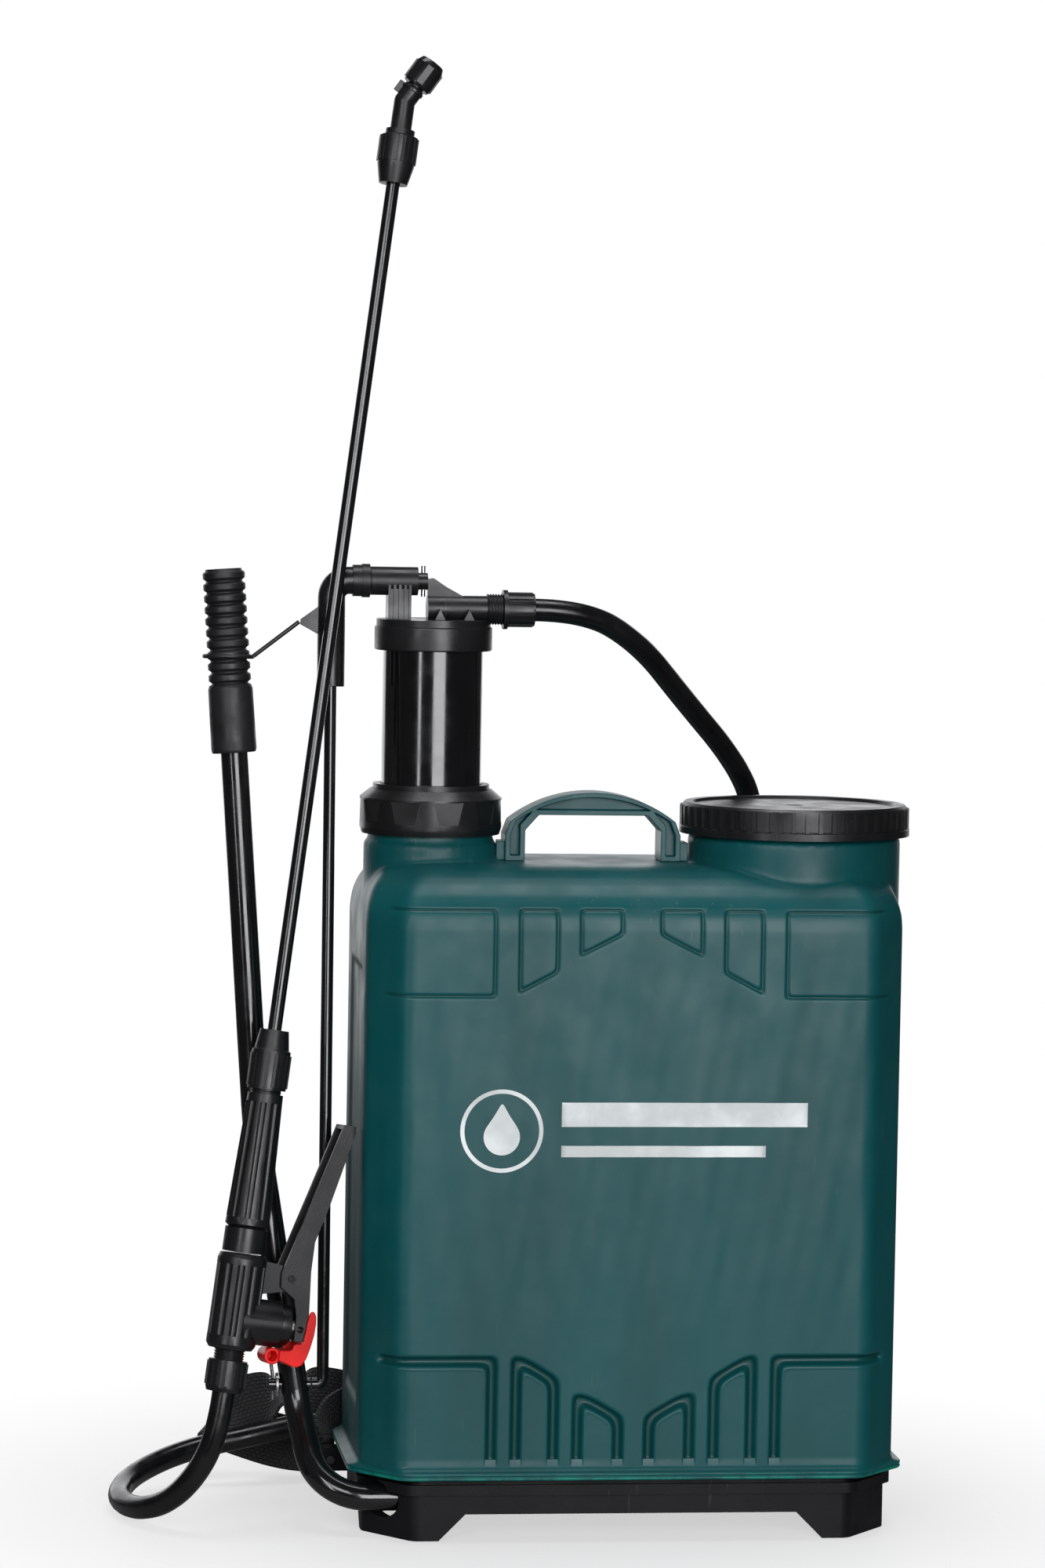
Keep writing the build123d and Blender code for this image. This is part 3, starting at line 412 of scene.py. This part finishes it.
def lofted(rings, caps=True, closed=False):
    """Points and faces of a skin through rings of equally many points."""
    count = len(rings[0])
    points = [point for ring in rings for point in ring]
    faces = []
    levels = len(rings) if closed else len(rings) - 1
    for level in range(levels):
        low, high = level * count, (level + 1) % len(rings) * count
        for i in range(count):
            j = (i + 1) % count
            faces.append((low + i, low + j, high + j, high + i))
    if caps and not closed:
        faces.append(tuple(range(count - 1, -1, -1)))
        faces.append(tuple(range(len(points) - count, len(points))))
    return points, faces


def cut_rectangle(half_x, half_y, cut, corner, z, steps=5):
    """Ring of points round a rectangle with cut and rounded corners."""
    cx, cy = cut
    corners = [(half_x, half_y - cy), (half_x - cx, half_y), (cx - half_x, half_y), (-half_x, half_y - cy),
               (-half_x, cy - half_y), (cx - half_x, -half_y), (half_x - cx, -half_y), (half_x, cy - half_y)]
    corners = [Vector(point) for point in corners]
    ring = []
    for i, point in enumerate(corners):
        before = (corners[i - 1] - point).normalized()
        after = (corners[(i + 1) % 8] - point).normalized()
        reach = corner / math.tan(before.angle(after) / 2)
        for step in range(steps + 1):
            t = step / steps
            first, last = point + before * reach, point + after * reach
            spot = first * (1 - t) ** 2 + point * 2 * t * (1 - t) + last * t * t
            ring.append((spot.x, spot.y, z))
    return ring


def circle(radius, x, y, z, count=96):
    turns = [2 * math.pi * i / count for i in range(count)]
    return [(x + radius * math.cos(a), y + radius * math.sin(a), z) for a in turns]


def smoothstep(value, low, high):
    t = np.clip((value - low) / (high - low), 0, 1)
    return t * t * (3 - 2 * t)


def applied(obj):
    """The object's mesh with its modifiers built in."""
    mesh = bpy.data.meshes.new_from_object(obj.evaluated_get(bpy.context.evaluated_depsgraph_get()))
    obj.modifiers.clear()
    old, obj.data = obj.data, mesh
    bpy.data.meshes.remove(old)
    return mesh


def coordinates(mesh):
    flat = np.empty(len(mesh.vertices) * 3, np.float32)
    mesh.vertices.foreach_get("co", flat)
    return flat.reshape(-1, 3).astype(float)


# Tank -------------------------------------------------------------------------------------------
HALF_X, HALF_Y, CUT, CORNER = 157.0, 82.0, (21.0, 25.0), 12.0
FOOT, SHOULDER, TOP = 36.0, 354.0, 388.0
SHOULDER_IN = (22.0, 42.0)
PUMP = (-115.0, 0.0)
FILLER = (100.0, -6.0)
PUMP_MOUTH, FILLER_MOUTH, MOUTH_FLOOR = 34.5, 54.5, 410.0
VOXEL = 1.7
MOAT_WIDTH, MOAT_DEPTH = 7.8, 4.6
LINE_WIDTH, LINE_DEPTH = 0.95, 1.05


def tank_solids():
    """Body, columns and necks, still separate closed skins."""
    rings = [cut_rectangle(HALF_X, HALF_Y, CUT, CORNER, height) for height in (FOOT, SHOULDER)]
    for step in range(1, 9):
        turn = math.radians(step * 11.25)
        drop = 1 - math.cos(turn)
        height = SHOULDER + (TOP - SHOULDER) * math.sin(turn)
        half_x, half_y = HALF_X - SHOULDER_IN[0] * drop, HALF_Y - SHOULDER_IN[1] * drop
        rings.append(cut_rectangle(half_x, half_y, CUT, CORNER, height))
    solids = [lofted(rings)]
    columns = ((39, 398, PUMP), (36.5, 419.5, PUMP), (62.5, 403.4, FILLER), (57.5, 416.5, FILLER))
    for radius, top, centre in columns:
        solids.append(lofted([circle(radius, *centre, SHOULDER - 30), circle(radius, *centre, top)]))
    points, faces = [], []
    for some_points, some_faces in solids:
        offset = len(points)
        points += some_points
        faces += [tuple(i + offset for i in face) for face in some_faces]
    return points, faces


def inside(outline, x, z, soft=0.6):
    """How far (x, z) is inside a convex outline, negative outside, with softly rounded corners."""
    total = np.zeros_like(x)
    for (x1, z1), (x2, z2) in zip(outline, outline[1:] + outline[:1]):
        length = math.hypot(x2 - x1, z2 - z1)
        distance = ((x - x1) * (z2 - z1) - (z - z1) * (x2 - x1)) / length
        total += np.exp(np.clip(distance * soft, -60, 60))
    return -np.log(total) / soft


def mirrored(outline):
    return [(-x, z) for x, z in reversed(outline)]


LOWER_PANELS = [
    [(-175, 20), (-78.9, 20), (-78.9, 108.2), (-175, 108.2)],
    [(-72.4, 20), (-42.9, 20), (-42.9, 94.8), (-65.5, 108.6), (-72.4, 108.6)],
    [(-36.5, 20), (-5.2, 20), (-5.2, 72.8), (-28.5, 86.6), (-36.5, 86.6)],
]
UPPER_PANELS = [
    [(-175, 315.4), (-84.7, 315.4), (-84.7, 364.4), (-175, 364.4)],
    [(-70.2, 318.2), (-48.8, 329.6), (-48.8, 364.7), (-70.2, 364.7)],
    [(-35, 339.6), (-11.4, 351.6), (-11.4, 364.8), (-35, 364.8)],
]


def moat(within):
    """Depth of the flat-bottomed channel inside a lower panel's outline, and of its middle."""
    channel = smoothstep(within, 0.2, 2.8) - smoothstep(within, 4.6, MOAT_WIDTH)
    return MOAT_DEPTH * channel + 0.4 * smoothstep(within, MOAT_WIDTH - 1, MOAT_WIDTH + 1)


def front_relief(x, z):
    """Depth of the front's moulding at (x, z), and how much of it lies in the grooves, kept as a mask for
    painted shade.
    """
    depth, groove_shade = np.zeros_like(x), np.zeros_like(x)
    for outline in LOWER_PANELS + [mirrored(outline) for outline in LOWER_PANELS]:
        within = inside(outline, x, z)
        cut = moat(within)
        depth += cut
        groove_shade = np.maximum(groove_shade, np.clip(cut / MOAT_DEPTH, 0, 1))
    foot = smoothstep(z, 42, 48)
    depth, groove_shade = depth * foot, groove_shade * foot
    for outline in UPPER_PANELS + [mirrored(outline) for outline in UPPER_PANELS]:
        within = inside(outline, x, z, 1.1)
        line = np.exp(-(within / LINE_WIDTH) ** 2)
        depth += LINE_DEPTH * line + 0.22 * smoothstep(within, 0, 2)
        groove_shade = np.maximum(groove_shade, line)
    return depth, groove_shade


# Size, pitch, lean and phase of the front's waves
WAVES = [(0.20, 61.0, 0.06, 0.4), (0.16, 37.0, -0.10, 2.1), (0.11, 23.0, 0.16, 4.0), (0.07, 14.5, -0.22, 1.2)]


def ripples(x, z):
    """Shallow vertical waves that the front keeps from its mould."""
    waves = np.zeros_like(x)
    for size, pitch, lean, phase in WAVES:
        wander = 0.6 * np.sin(z / 47.0 + phase)
        waves += size * np.sin(2 * math.pi * (x + lean * z) / pitch + phase + wander)
    return waves * smoothstep(z, 90, 170) * (1 - 0.8 * smoothstep(z, 300, 350))


def side_relief(y, z):
    """A long shallow panel on each side, and the mould's parting line."""
    outline = [(-38, 70), (38, 70), (38, 330), (-38, 330)]
    within = inside(outline, y, z, 0.45)
    parting = 0.35 * np.exp(-(y / 0.9) ** 2)
    return 1.6 * smoothstep(within, 0, 7) - parting


def back_relief(x, z):
    """The back rests on the carrier's shoulders: a shallow hollow with three stiffening grooves."""
    outline = [(-118, 60), (118, 60), (118, 336), (-118, 336)]
    depth = 1.8 * smoothstep(inside(outline, x, z, 0.3), 0, 12)
    for level in (140.0, 200.0, 260.0):
        run = smoothstep(118 - np.abs(x), 0, 12)
        depth += 1.6 * np.exp(-((z - level) / 3.2) ** 2) * run
    return depth


def refine(mesh, wanted, cuts):
    """Splits the faces whose centres are wanted, given in millimetres."""
    work = bmesh.new()
    work.from_mesh(mesh)
    chosen = {edge for face in work.faces if wanted(face.calc_center_median()) for edge in face.edges}
    bmesh.ops.subdivide_edges(work, edges=list(chosen), cuts=cuts, use_grid_fill=True)
    work.to_mesh(mesh)
    work.free()


def on_front(low, high):
    edge = MIDDLE.y - (HALF_Y - 12) * MM
    return lambda centre: centre.y < edge and low * MM < centre.z < high * MM


def make_tank():
    tank = mesh_object("tank", *tank_solids())
    remesh = tank.modifiers.new("union", "REMESH")
    remesh.mode = "VOXEL"
    remesh.voxel_size = VOXEL * MM
    remesh.use_smooth_shade = True
    relax = tank.modifiers.new("relax", "SMOOTH")
    relax.factor = 0.5
    relax.iterations = 9
    mesh = applied(tank)
    refine(mesh, on_front(40, 113), 1)
    refine(mesh, on_front(310, 369), 2)
    spots = to_mm(coordinates(mesh))
    x, y, z = spots.T
    front = smoothstep(-y, 66, 73)
    back = smoothstep(y, 72, 80) * smoothstep(-z, -372, -350)
    side = smoothstep(np.abs(x), 148, 155) * smoothstep(-z, -350, -335)
    depth, groove_shade = front_relief(x, z)
    spots[:, 1] += (depth + ripples(x, z)) * front - back_relief(x, z) * back
    spots[:, 0] -= np.sign(x) * side_relief(y, z) * side
    groove_shade = groove_shade * front
    open_neck = np.zeros(len(x), bool)
    for centre, radius in ((FILLER, FILLER_MOUTH), (PUMP, PUMP_MOUTH)):
        open_neck |= (np.hypot(x - centre[0], y - centre[1]) < radius) & (z > MOUTH_FLOOR)
    mesh.vertices.foreach_set("co", (spots * MM + np.array(MIDDLE)).astype(np.float32).ravel())
    # Mask of the grooves and engraved lines, which the tank's paint darkens as painted shade.
    mesh.attributes.new("groove_shade", "FLOAT", "POINT").data.foreach_set("value", groove_shade.astype(np.float32))
    work = bmesh.new()
    work.from_mesh(mesh)
    work.verts.ensure_lookup_table()
    bmesh.ops.delete(work, geom=[work.verts[i] for i in np.nonzero(open_neck)[0]], context="VERTS")
    work.to_mesh(mesh)
    work.free()
    mesh.polygons.foreach_set("use_smooth", [True] * len(mesh.polygons))
    finished(tank, "tank_plastic")
    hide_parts("tank_shell")
    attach(tank, "tank")


def make_mouth():
    """The filler's mouth with its thread, which the open lid shows."""
    profile = [(52.4, 350), (52.4, 416.2), (53.2, 417), (57.0, 417), (57.8, 416.2), (57.8, 414.5)]
    for level in (412.5, 409.0):
        profile += [(57.8, level + 1.2), (58.0, level), (57.8, level - 1.2)]
    profile += [(57.6, 405.5), (56.4, 404.5)]
    rings = [circle(radius, *FILLER, z, 128) for radius, z in profile]
    mouth = mesh_object("filler_mouth", *lofted(rings, caps=False))
    finished(mouth, "tank_plastic")
    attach(mouth, "tank")


def make_lip():
    """Pinched rim round the tank's foot, thin and bright at its edge."""
    levels = [(0.0, 47.5, 0.0), (0.12, 43.6, 0.0), (0.30, 41.6, 0.0), (0.78, 40.6, 0.0), (0.97, 40.1, 0.1),
              (1.0, 39.6, 0.35), (0.99, 38.9, 0.2), (0.86, 38.5, 0.0), (0.86, 38.1, 0.2), (0.99, 37.7, 0.8),
              (1.0, 36.9, 1.0), (0.9, 36.2, 0.8), (0.2, 36.05, 0.0)]
    rings = []
    for out, z, _ in levels:
        half_x, half_y = 156.2 + 6.8 * out, 81.2 + 5.8 * out
        cut = (21 + 9 * out, 25 + 8 * out)
        rings.append(cut_rectangle(half_x, half_y, cut, 11, z, 8))
    lip = mesh_object("tank_lip", *lofted(rings, caps=False))
    thin = np.repeat([share for _, _, share in levels], len(rings[0])).astype(np.float32)
    lip.data.attributes.new("thin", "FLOAT", "POINT").data.foreach_set("value", thin)
    finished(lip, "tank_plastic")
    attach(lip, "tank")


def on_skin(x, z):
    """Y of the tank's front at (x, z)."""
    across, height = np.array([float(x)]), np.array([float(z)])
    return -HALF_Y + float(front_relief(across, height)[0][0] + ripples(across, height)[0])


def printed(name, outer, inner):
    """A patch of white print between two outlines of equally many (x, z) points."""
    rings = []
    for share in np.linspace(0, 1, 7):
        ring = []
        for (x1, z1), (x2, z2) in zip(outer, inner):
            x, z = x1 + (x2 - x1) * share, z1 + (z2 - z1) * share
            ring.append((x, on_skin(x, z) - 0.25, z))
        rings.append(ring)
    patch = mesh_object(name, *lofted(rings, caps=False))
    patch.data.materials.append(PAINTS["print_ink"])
    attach(patch, "tank")
    return patch


def turns(count=72):
    return [2 * math.pi * i / count for i in range(count)]


def make_print():
    """A plain ring round a drop, and two plain bars."""
    x0, z0 = -79.5, 238.0
    disc = [(x0 + 24 * math.cos(a), z0 + 24 * math.sin(a)) for a in turns()]
    rim = [(x0 + 21.6 * math.cos(a), z0 + 21.6 * math.sin(a)) for a in turns()]
    printed("print_ring", disc, rim)
    drop = []
    for a in turns():
        tip = max(0.0, math.sin(a)) ** 6
        drop.append((x0 + 10.5 * math.cos(a) * (1 - 0.45 * tip), z0 - 3.5 + 10.5 * math.sin(a) + 8.5 * tip))
    printed("print_drop", drop, [(x0, z0 - 3.5)] * len(drop))
    start = -45
    bars = (("print_bar_upper", 240.5, 254.5, 98), ("print_bar_lower", 223, 229.5, 74))
    for name, low, high, end in bars:
        middle = (low + high) / 2
        shares = [i / 35 for i in range(36)]
        edge = [(start + (end - start) * share, high) for share in shares]
        edge += [(end - (end - start) * share, low) for share in shares]
        printed(name, edge, [(x, middle) for x, _ in edge])


make_tank()
make_mouth()
make_lip()
make_print()


# Threads and the trigger's lock --------------------------------------------------------------------
def threads(name, origin, axis, radius, low, high, pitch, body):
    """Ridges of a screw thread on the stretch low..high along the axis."""
    axis = Vector(axis).normalized()
    side = axis.orthogonal().normalized()
    other = axis.cross(side)
    count = int((high - low) / pitch)
    rings = []
    for step in range(count):
        for share, grow in ((0.0, -0.7), (0.3, 0.0), (0.5, 0.0), (0.8, -0.7)):
            along = low + (step + share) * pitch
            ring = []
            for i in range(48):
                turn = 2 * math.pi * i / 48
                out = (side * math.cos(turn) + other * math.sin(turn)) * (radius + grow)
                ring.append(tuple(Vector(origin) + axis * along + out))
            rings.append(ring)
    thread = mesh_object(name, *lofted(rings))
    finished(thread, "black_plastic")
    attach(thread, body)


WAND_FOOT = (-235.0, -62.0, 88.0)
WAND_LEAN = (0.1347, 0.107, 1.0)
TRIGGER_SIDE = math.radians(12.0)
threads("hose_nut_thread", WAND_FOOT, WAND_LEAN, 8.9, 14.0, 22.5, 1.5, "wand")
threads("lance_nut_thread", WAND_FOOT, WAND_LEAN, 9.0, 165.5, 172.5, 1.4, "wand")
threads("outlet_thread", (0, 0, 534.2), (1, 0, 0), 9.1, -84.0, -74.0, 1.6, "pump")


def on_wand(x, y, s):
    """A point s along the wand, x across it and y behind it."""
    along = Vector(WAND_LEAN).normalized()
    side = Vector((math.cos(TRIGGER_SIDE), math.sin(TRIGGER_SIDE), 0))
    across = (side - along * side.dot(along)).normalized()
    return tuple(Vector(WAND_FOOT) + across * x + along.cross(across) * y + along * s)


def make_latch():
    """Lock for the trigger: a strip at each side of its tail, a block and an open eye."""
    strip = [(27.0, 18.1), (31.7, 16.9), (35.1, 15.6), (38.4, 15.5), (41.2, 17.0), (43.4, 21.0), (45.0, 27.5),
             (46.2, 35.0), (46.4, 41.5), (45.9, 45.6), (44.6, 48.0), (43.0, 48.4), (41.9, 47.0), (41.2, 42.0),
             (40.8, 36.0), (40.2, 30.5), (39.2, 28.8), (36.4, 28.6), (35.0, 28.0), (34.4, 25.4), (32.6, 24.3),
             (27.0, 24.0)]
    block = [(27.0, 18.1), (31.7, 16.9), (35.1, 15.6), (38.4, 15.5), (41.2, 17.0), (43.4, 21.0), (44.4, 25.4),
             (27.0, 24.0)]
    points, faces = [], []
    for outline, low, high in ((strip, -10.4, -8.3), (strip, 8.3, 10.4), (block, -8.8, 8.8)):
        some_points, some_faces = lofted([[on_wand(x, y, s) for x, s in outline] for y in (low, high)])
        faces += [tuple(i + len(points) for i in face) for face in some_faces]
        points += some_points
    latch = mesh_object("trigger_latch", points, faces, smooth=False)
    eye = []
    for radius, y in ((4.8, 8), (4.8, -8), (2.9, -8), (2.7, 4)):
        round_eye = [(23.6 + radius * math.cos(a), 20.2 + radius * math.sin(a)) for a in turns(40)]
        eye.append([on_wand(x, y, s) for x, s in round_eye])
    ring = mesh_object("latch_eye", *lofted(eye), smooth=False)
    for piece, width in ((latch, 0.7), (ring, 0.5)):
        edge = piece.modifiers.new("edges", "BEVEL")
        edge.width = width * MM
        edge.segments = 3
        edge.limit_method = "ANGLE"
        edge.angle_limit = math.radians(50)
        piece.modifiers.new("shading", "WEIGHTED_NORMAL")
        piece.data.polygons.foreach_set("use_smooth", [True] * len(piece.data.polygons))
        finished(piece, "red_plastic")
        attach(piece, "lock")
    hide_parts("trigger_lock")


make_latch()


# Harness ------------------------------------------------------------------------------------------
def smooth_path(controls, count):
    """Points along a uniform cubic B-spline that starts and ends on its control points."""
    rows = np.array([controls[0]] * 2 + list(controls) + [controls[-1]] * 2, float)
    spots = []
    spans = len(rows) - 3
    for i in range(count):
        t = i / (count - 1) * spans
        k = min(int(t), spans - 1)
        u = t - k
        rising = -3 * u ** 3 + 3 * u ** 2 + 3 * u + 1
        weights = np.array([(1 - u) ** 3, 3 * u ** 3 - 6 * u ** 2 + 4, rising, u ** 3]) / 6
        spots.append(weights @ rows[k:k + 4])
    return np.array(spots)


def strap(name, controls, width, body, thick=1.5, across=9):
    """Webbing: controls are (x, y, z, wx, wy, wz), the middle of the strap and its width's direction."""
    count = 12 * len(controls)
    path = smooth_path(controls, count)
    middle = path[:, :3]
    steps = np.linalg.norm(np.diff(middle, axis=0), axis=1)
    along = np.concatenate([[0], np.cumsum(steps)])
    points, faces, uvs = [], [], []
    for i in range(count):
        tangent = middle[min(i + 1, count - 1)] - middle[max(i - 1, 0)]
        side = path[i, 3:] - tangent * (path[i, 3:] @ tangent) / (tangent @ tangent)
        side = side / np.linalg.norm(side)
        for j in range(across):
            share = j / (across - 1) - 0.5
            points.append(tuple(middle[i] + side * width * share))
            uvs.append((along[i] * MM, share * width * MM))
    for i in range(count - 1):
        for j in range(across - 1):
            a = i * across + j
            faces.append((a, a + 1, a + across + 1, a + across))
    band = mesh_object(name, points, faces)
    layer = band.data.uv_layers.new(name="UVMap")
    for loop in band.data.loops:
        layer.data[loop.index].uv = uvs[loop.vertex_index]
    solid = band.modifiers.new("thickness", "SOLIDIFY")
    solid.thickness = thick * MM
    solid.offset = 0
    soft = band.modifiers.new("soft_edge", "BEVEL")
    soft.width = 0.3 * thick * MM
    soft.segments = 2
    soft.limit_method = "ANGLE"
    soft.angle_limit = math.radians(50)
    finished(band, "webbing")
    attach(band, body)
    return band


WEBBING = 38.0
PAD_X, PAD_WIDTH = 48.0, 52.0
PAD_Z = (112.0, 338.0)
PAD_ROUND = 15.0


def make_pad(name, x):
    """Shoulder pad: a crowned, sewn cushion with piping and two rows of stitching."""
    rows, columns = 58, 16
    low, high = PAD_Z
    rings = []
    for j in range(rows + 1):
        v = j / rows
        z = low + (high - low) * v
        inward = min(1.0, min(v, 1 - v) * (high - low) / PAD_ROUND)
        end = math.sqrt(1 - (1 - inward) ** 2)
        half = PAD_WIDTH / 2 * (0.72 + 0.28 * end) * (1 - 0.05 * math.sin(math.pi * v) ** 2)
        tuft = 1 - 0.34 * sum(math.exp(-((v - spot) / 0.022) ** 2) for spot in (0.2, 0.4, 0.6, 0.8))
        ring = []
        for i in range(2 * columns):
            u = i / columns
            front = u < 1
            s = u if front else 2 - u
            across = math.cos(math.pi * s)
            crown = (1 - abs(across) ** 3) * end * tuft
            seam = 1 - 0.45 * math.exp(-((abs(across) - 0.80) / 0.06) ** 2)
            y = 89.6 + (4.6 if front else -3.6) * crown * seam + (0.7 if front else -0.7)
            ring.append((x + half * across, y, z))
        rings.append(ring)
    pad = mesh_object(name + "_cushion", *lofted(rings))
    pad.modifiers.new("soft", "SUBSURF").levels = 1
    pad.modifiers["soft"].render_levels = 1
    finished(pad, "pad_fabric")
    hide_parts(name)
    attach(pad, "tank")


def make_harness():
    for side, word in ((-1, "left"), (1, "right")):
        x = side * PAD_X
        make_pad("shoulder_pad_" + word, x)
        strap("upper_strap_" + word, [(x, 90, 326, 1, 0, 0), (x, 92.5, 336, 1, 0, 0), (x, 90, 343, 1, 0, 0),
                                      (x, 87.4, 351, 1, 0, 0), (x, 87.0, 355, 1, 0, 0)],
              WEBBING, "tank")
        lower = [(x, 90, 122, 1, 0, 0), (x, 92, 108, 1, 0, 0), (x, 91, 94, 1, 0, 0.1 * side),
                 (side * 60, 90.5, 82, 1, 0, 0.5 * side), (side * 82, 91, 69, 0.75, 0, 0.8 * side),
                 (side * 101, 91, 60, 0.5, 0, side), (side * 114, 91, 55, 0.2, 0, side)]
        strap("lower_strap_" + word, lower, WEBBING * 0.8, "tank")
        tail = [(side * 119, 91, 54, 0, 0, 1), (side * 134, 91, 51, 0, 0, 1), (side * 150, 89, 47, 0, 0, 1),
                (side * 162, 81, 43, 0, 0, 1), (side * 166.5, 70, 38, 0.25 * side, 0, 1),
                (side * 168, 60.5, 32, 0.3 * side, 0, 1)]
        strap("strap_tail_" + word, tail, 25, "tank", 2.0)
    loops = [(-141, 108, 46, 0.2, 0, 1), (-152, 107, 49, 0.1, 0, 1), (-162, 107.5, 51, 0, 0.1, 1),
             (-170, 109, 51, 0, 0.4, 0.9), (-177, 110, 50, 0, 1, 0.35), (-184, 110, 49, 0, 1, 0.02),
             (-190, 110.5, 48.5, 0.1, 1, 0.05), (-197, 111, 48, 0.3, 0.4, 0.85),
             (-206, 111, 47, 0.5, 0.1, 0.9), (-215, 111, 44, 0.55, 0, 0.85), (-224, 112, 40, 0.6, 0.1, 0.8),
             (-230, 115, 37, 0.6, 0.3, 0.7), (-228, 118, 34, 0.5, 0.2, 0.85)]
    strap("strap_bundle_upper", loops, WEBBING - 5, "tank", 1.8)
    lobe = [(-228, 119.5, 33, 0.5, 0, 0.85), (-218, 121.5, 29, 0.45, 0, 0.9),
            (-206, 122.5, 24.5, 0.3, 0, 0.95), (-194, 122.5, 20.5, 0.2, 0, 1),
            (-182, 121.5, 18, 0.1, 0.1, 1), (-170, 118.5, 17.5, -0.2, 0.2, 1), (-158, 114, 19, -0.2, 0.2, 1)]
    strap("strap_bundle_lower", lobe, WEBBING - 5, "tank", 1.8)
    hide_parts("strap_webbing")
    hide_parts("strap_tails")
    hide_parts("strap_bundle")


make_harness()


# Stage --------------------------------------------------------------------------------------------
def make_floor():
    """Pale floor that fades into the white backdrop away from the object."""
    mesh = bpy.data.meshes.new("floor")
    mesh.from_pydata([(-3, -3, 0), (3, -3, 0), (3, 3, 0), (-3, 3, 0)], [], [(0, 1, 2, 3)])
    floor = bpy.data.objects.new("floor", mesh)
    bpy.context.scene.collection.objects.link(floor)
    floor.location.z = -0.0003
    paint = Paint("pale_floor")
    shade_here = paint.mixed(paint.noise(2.2), (0.90, 0.90, 0.90, 1), (0.93, 0.93, 0.93, 1))
    radius = paint.add("ShaderNodeVectorMath", {0: paint.where}, operation="LENGTH").outputs["Value"]
    paint.feed(paint.shader.inputs["Alpha"], paint.spread(radius, 0.12, 0.50, 0.42, 0.0))
    floor.data.materials.append(paint.done(shade_here, 0.6))


def make_world():
    """White backdrop with a dimmer light of its own."""
    world = bpy.data.worlds.new("studio")
    world.use_nodes = True
    tree = world.node_tree
    seen = tree.nodes["Background"]
    seen.inputs["Strength"].default_value = 1.0
    seen.inputs["Color"].default_value = (1, 1, 1, 1)
    dim = tree.nodes.new("ShaderNodeBackground")
    dim.inputs["Strength"].default_value = 0.05
    dim.inputs["Color"].default_value = (0.95, 0.97, 1.0, 1)
    share = tree.nodes.new("ShaderNodeMixShader")
    tree.links.new(tree.nodes.new("ShaderNodeLightPath").outputs["Is Camera Ray"], share.inputs[0])
    tree.links.new(dim.outputs[0], share.inputs[1])
    tree.links.new(seen.outputs[0], share.inputs[2])
    tree.links.new(share.outputs[0], tree.nodes["World Output"].inputs["Surface"])
    bpy.context.scene.world = world


def soft_light(name, spot, width, height, power, aim=(0, 0, 0.4)):
    light = bpy.data.lights.new(name, "AREA")
    light.shape = "RECTANGLE"
    light.size, light.size_y = width, height
    light.energy = power
    light.color = (0.97, 0.98, 1.0)
    lamp = bpy.data.objects.new(name, light)
    lamp.visible_camera = False
    lamp.location = spot
    lamp.rotation_euler = (Vector(aim) - Vector(spot)).to_track_quat("-Z", "Y").to_euler()
    bpy.context.scene.collection.objects.link(lamp)


def make_stage():
    make_floor()
    make_world()
    bpy.context.scene.view_settings.view_transform = "Standard"
    soft_light("front_box", (0.45, -3.1, 0.75), 1.5, 1.5, 52)
    soft_light("front_strip", (-1.5, -2.1, 0.9), 0.22, 1.5, 9)
    soft_light("fill_box", (-1.1, -2.9, 1.5), 1.0, 1.0, 17)
    soft_light("top_box", (0.0, -0.1, 2.3), 1.2, 0.8, 17)
    soft_light("back_wall", (-0.1, 2.3, 0.8), 3.6, 1.6, 26, (-0.1, 0, 0.6))


make_stage()
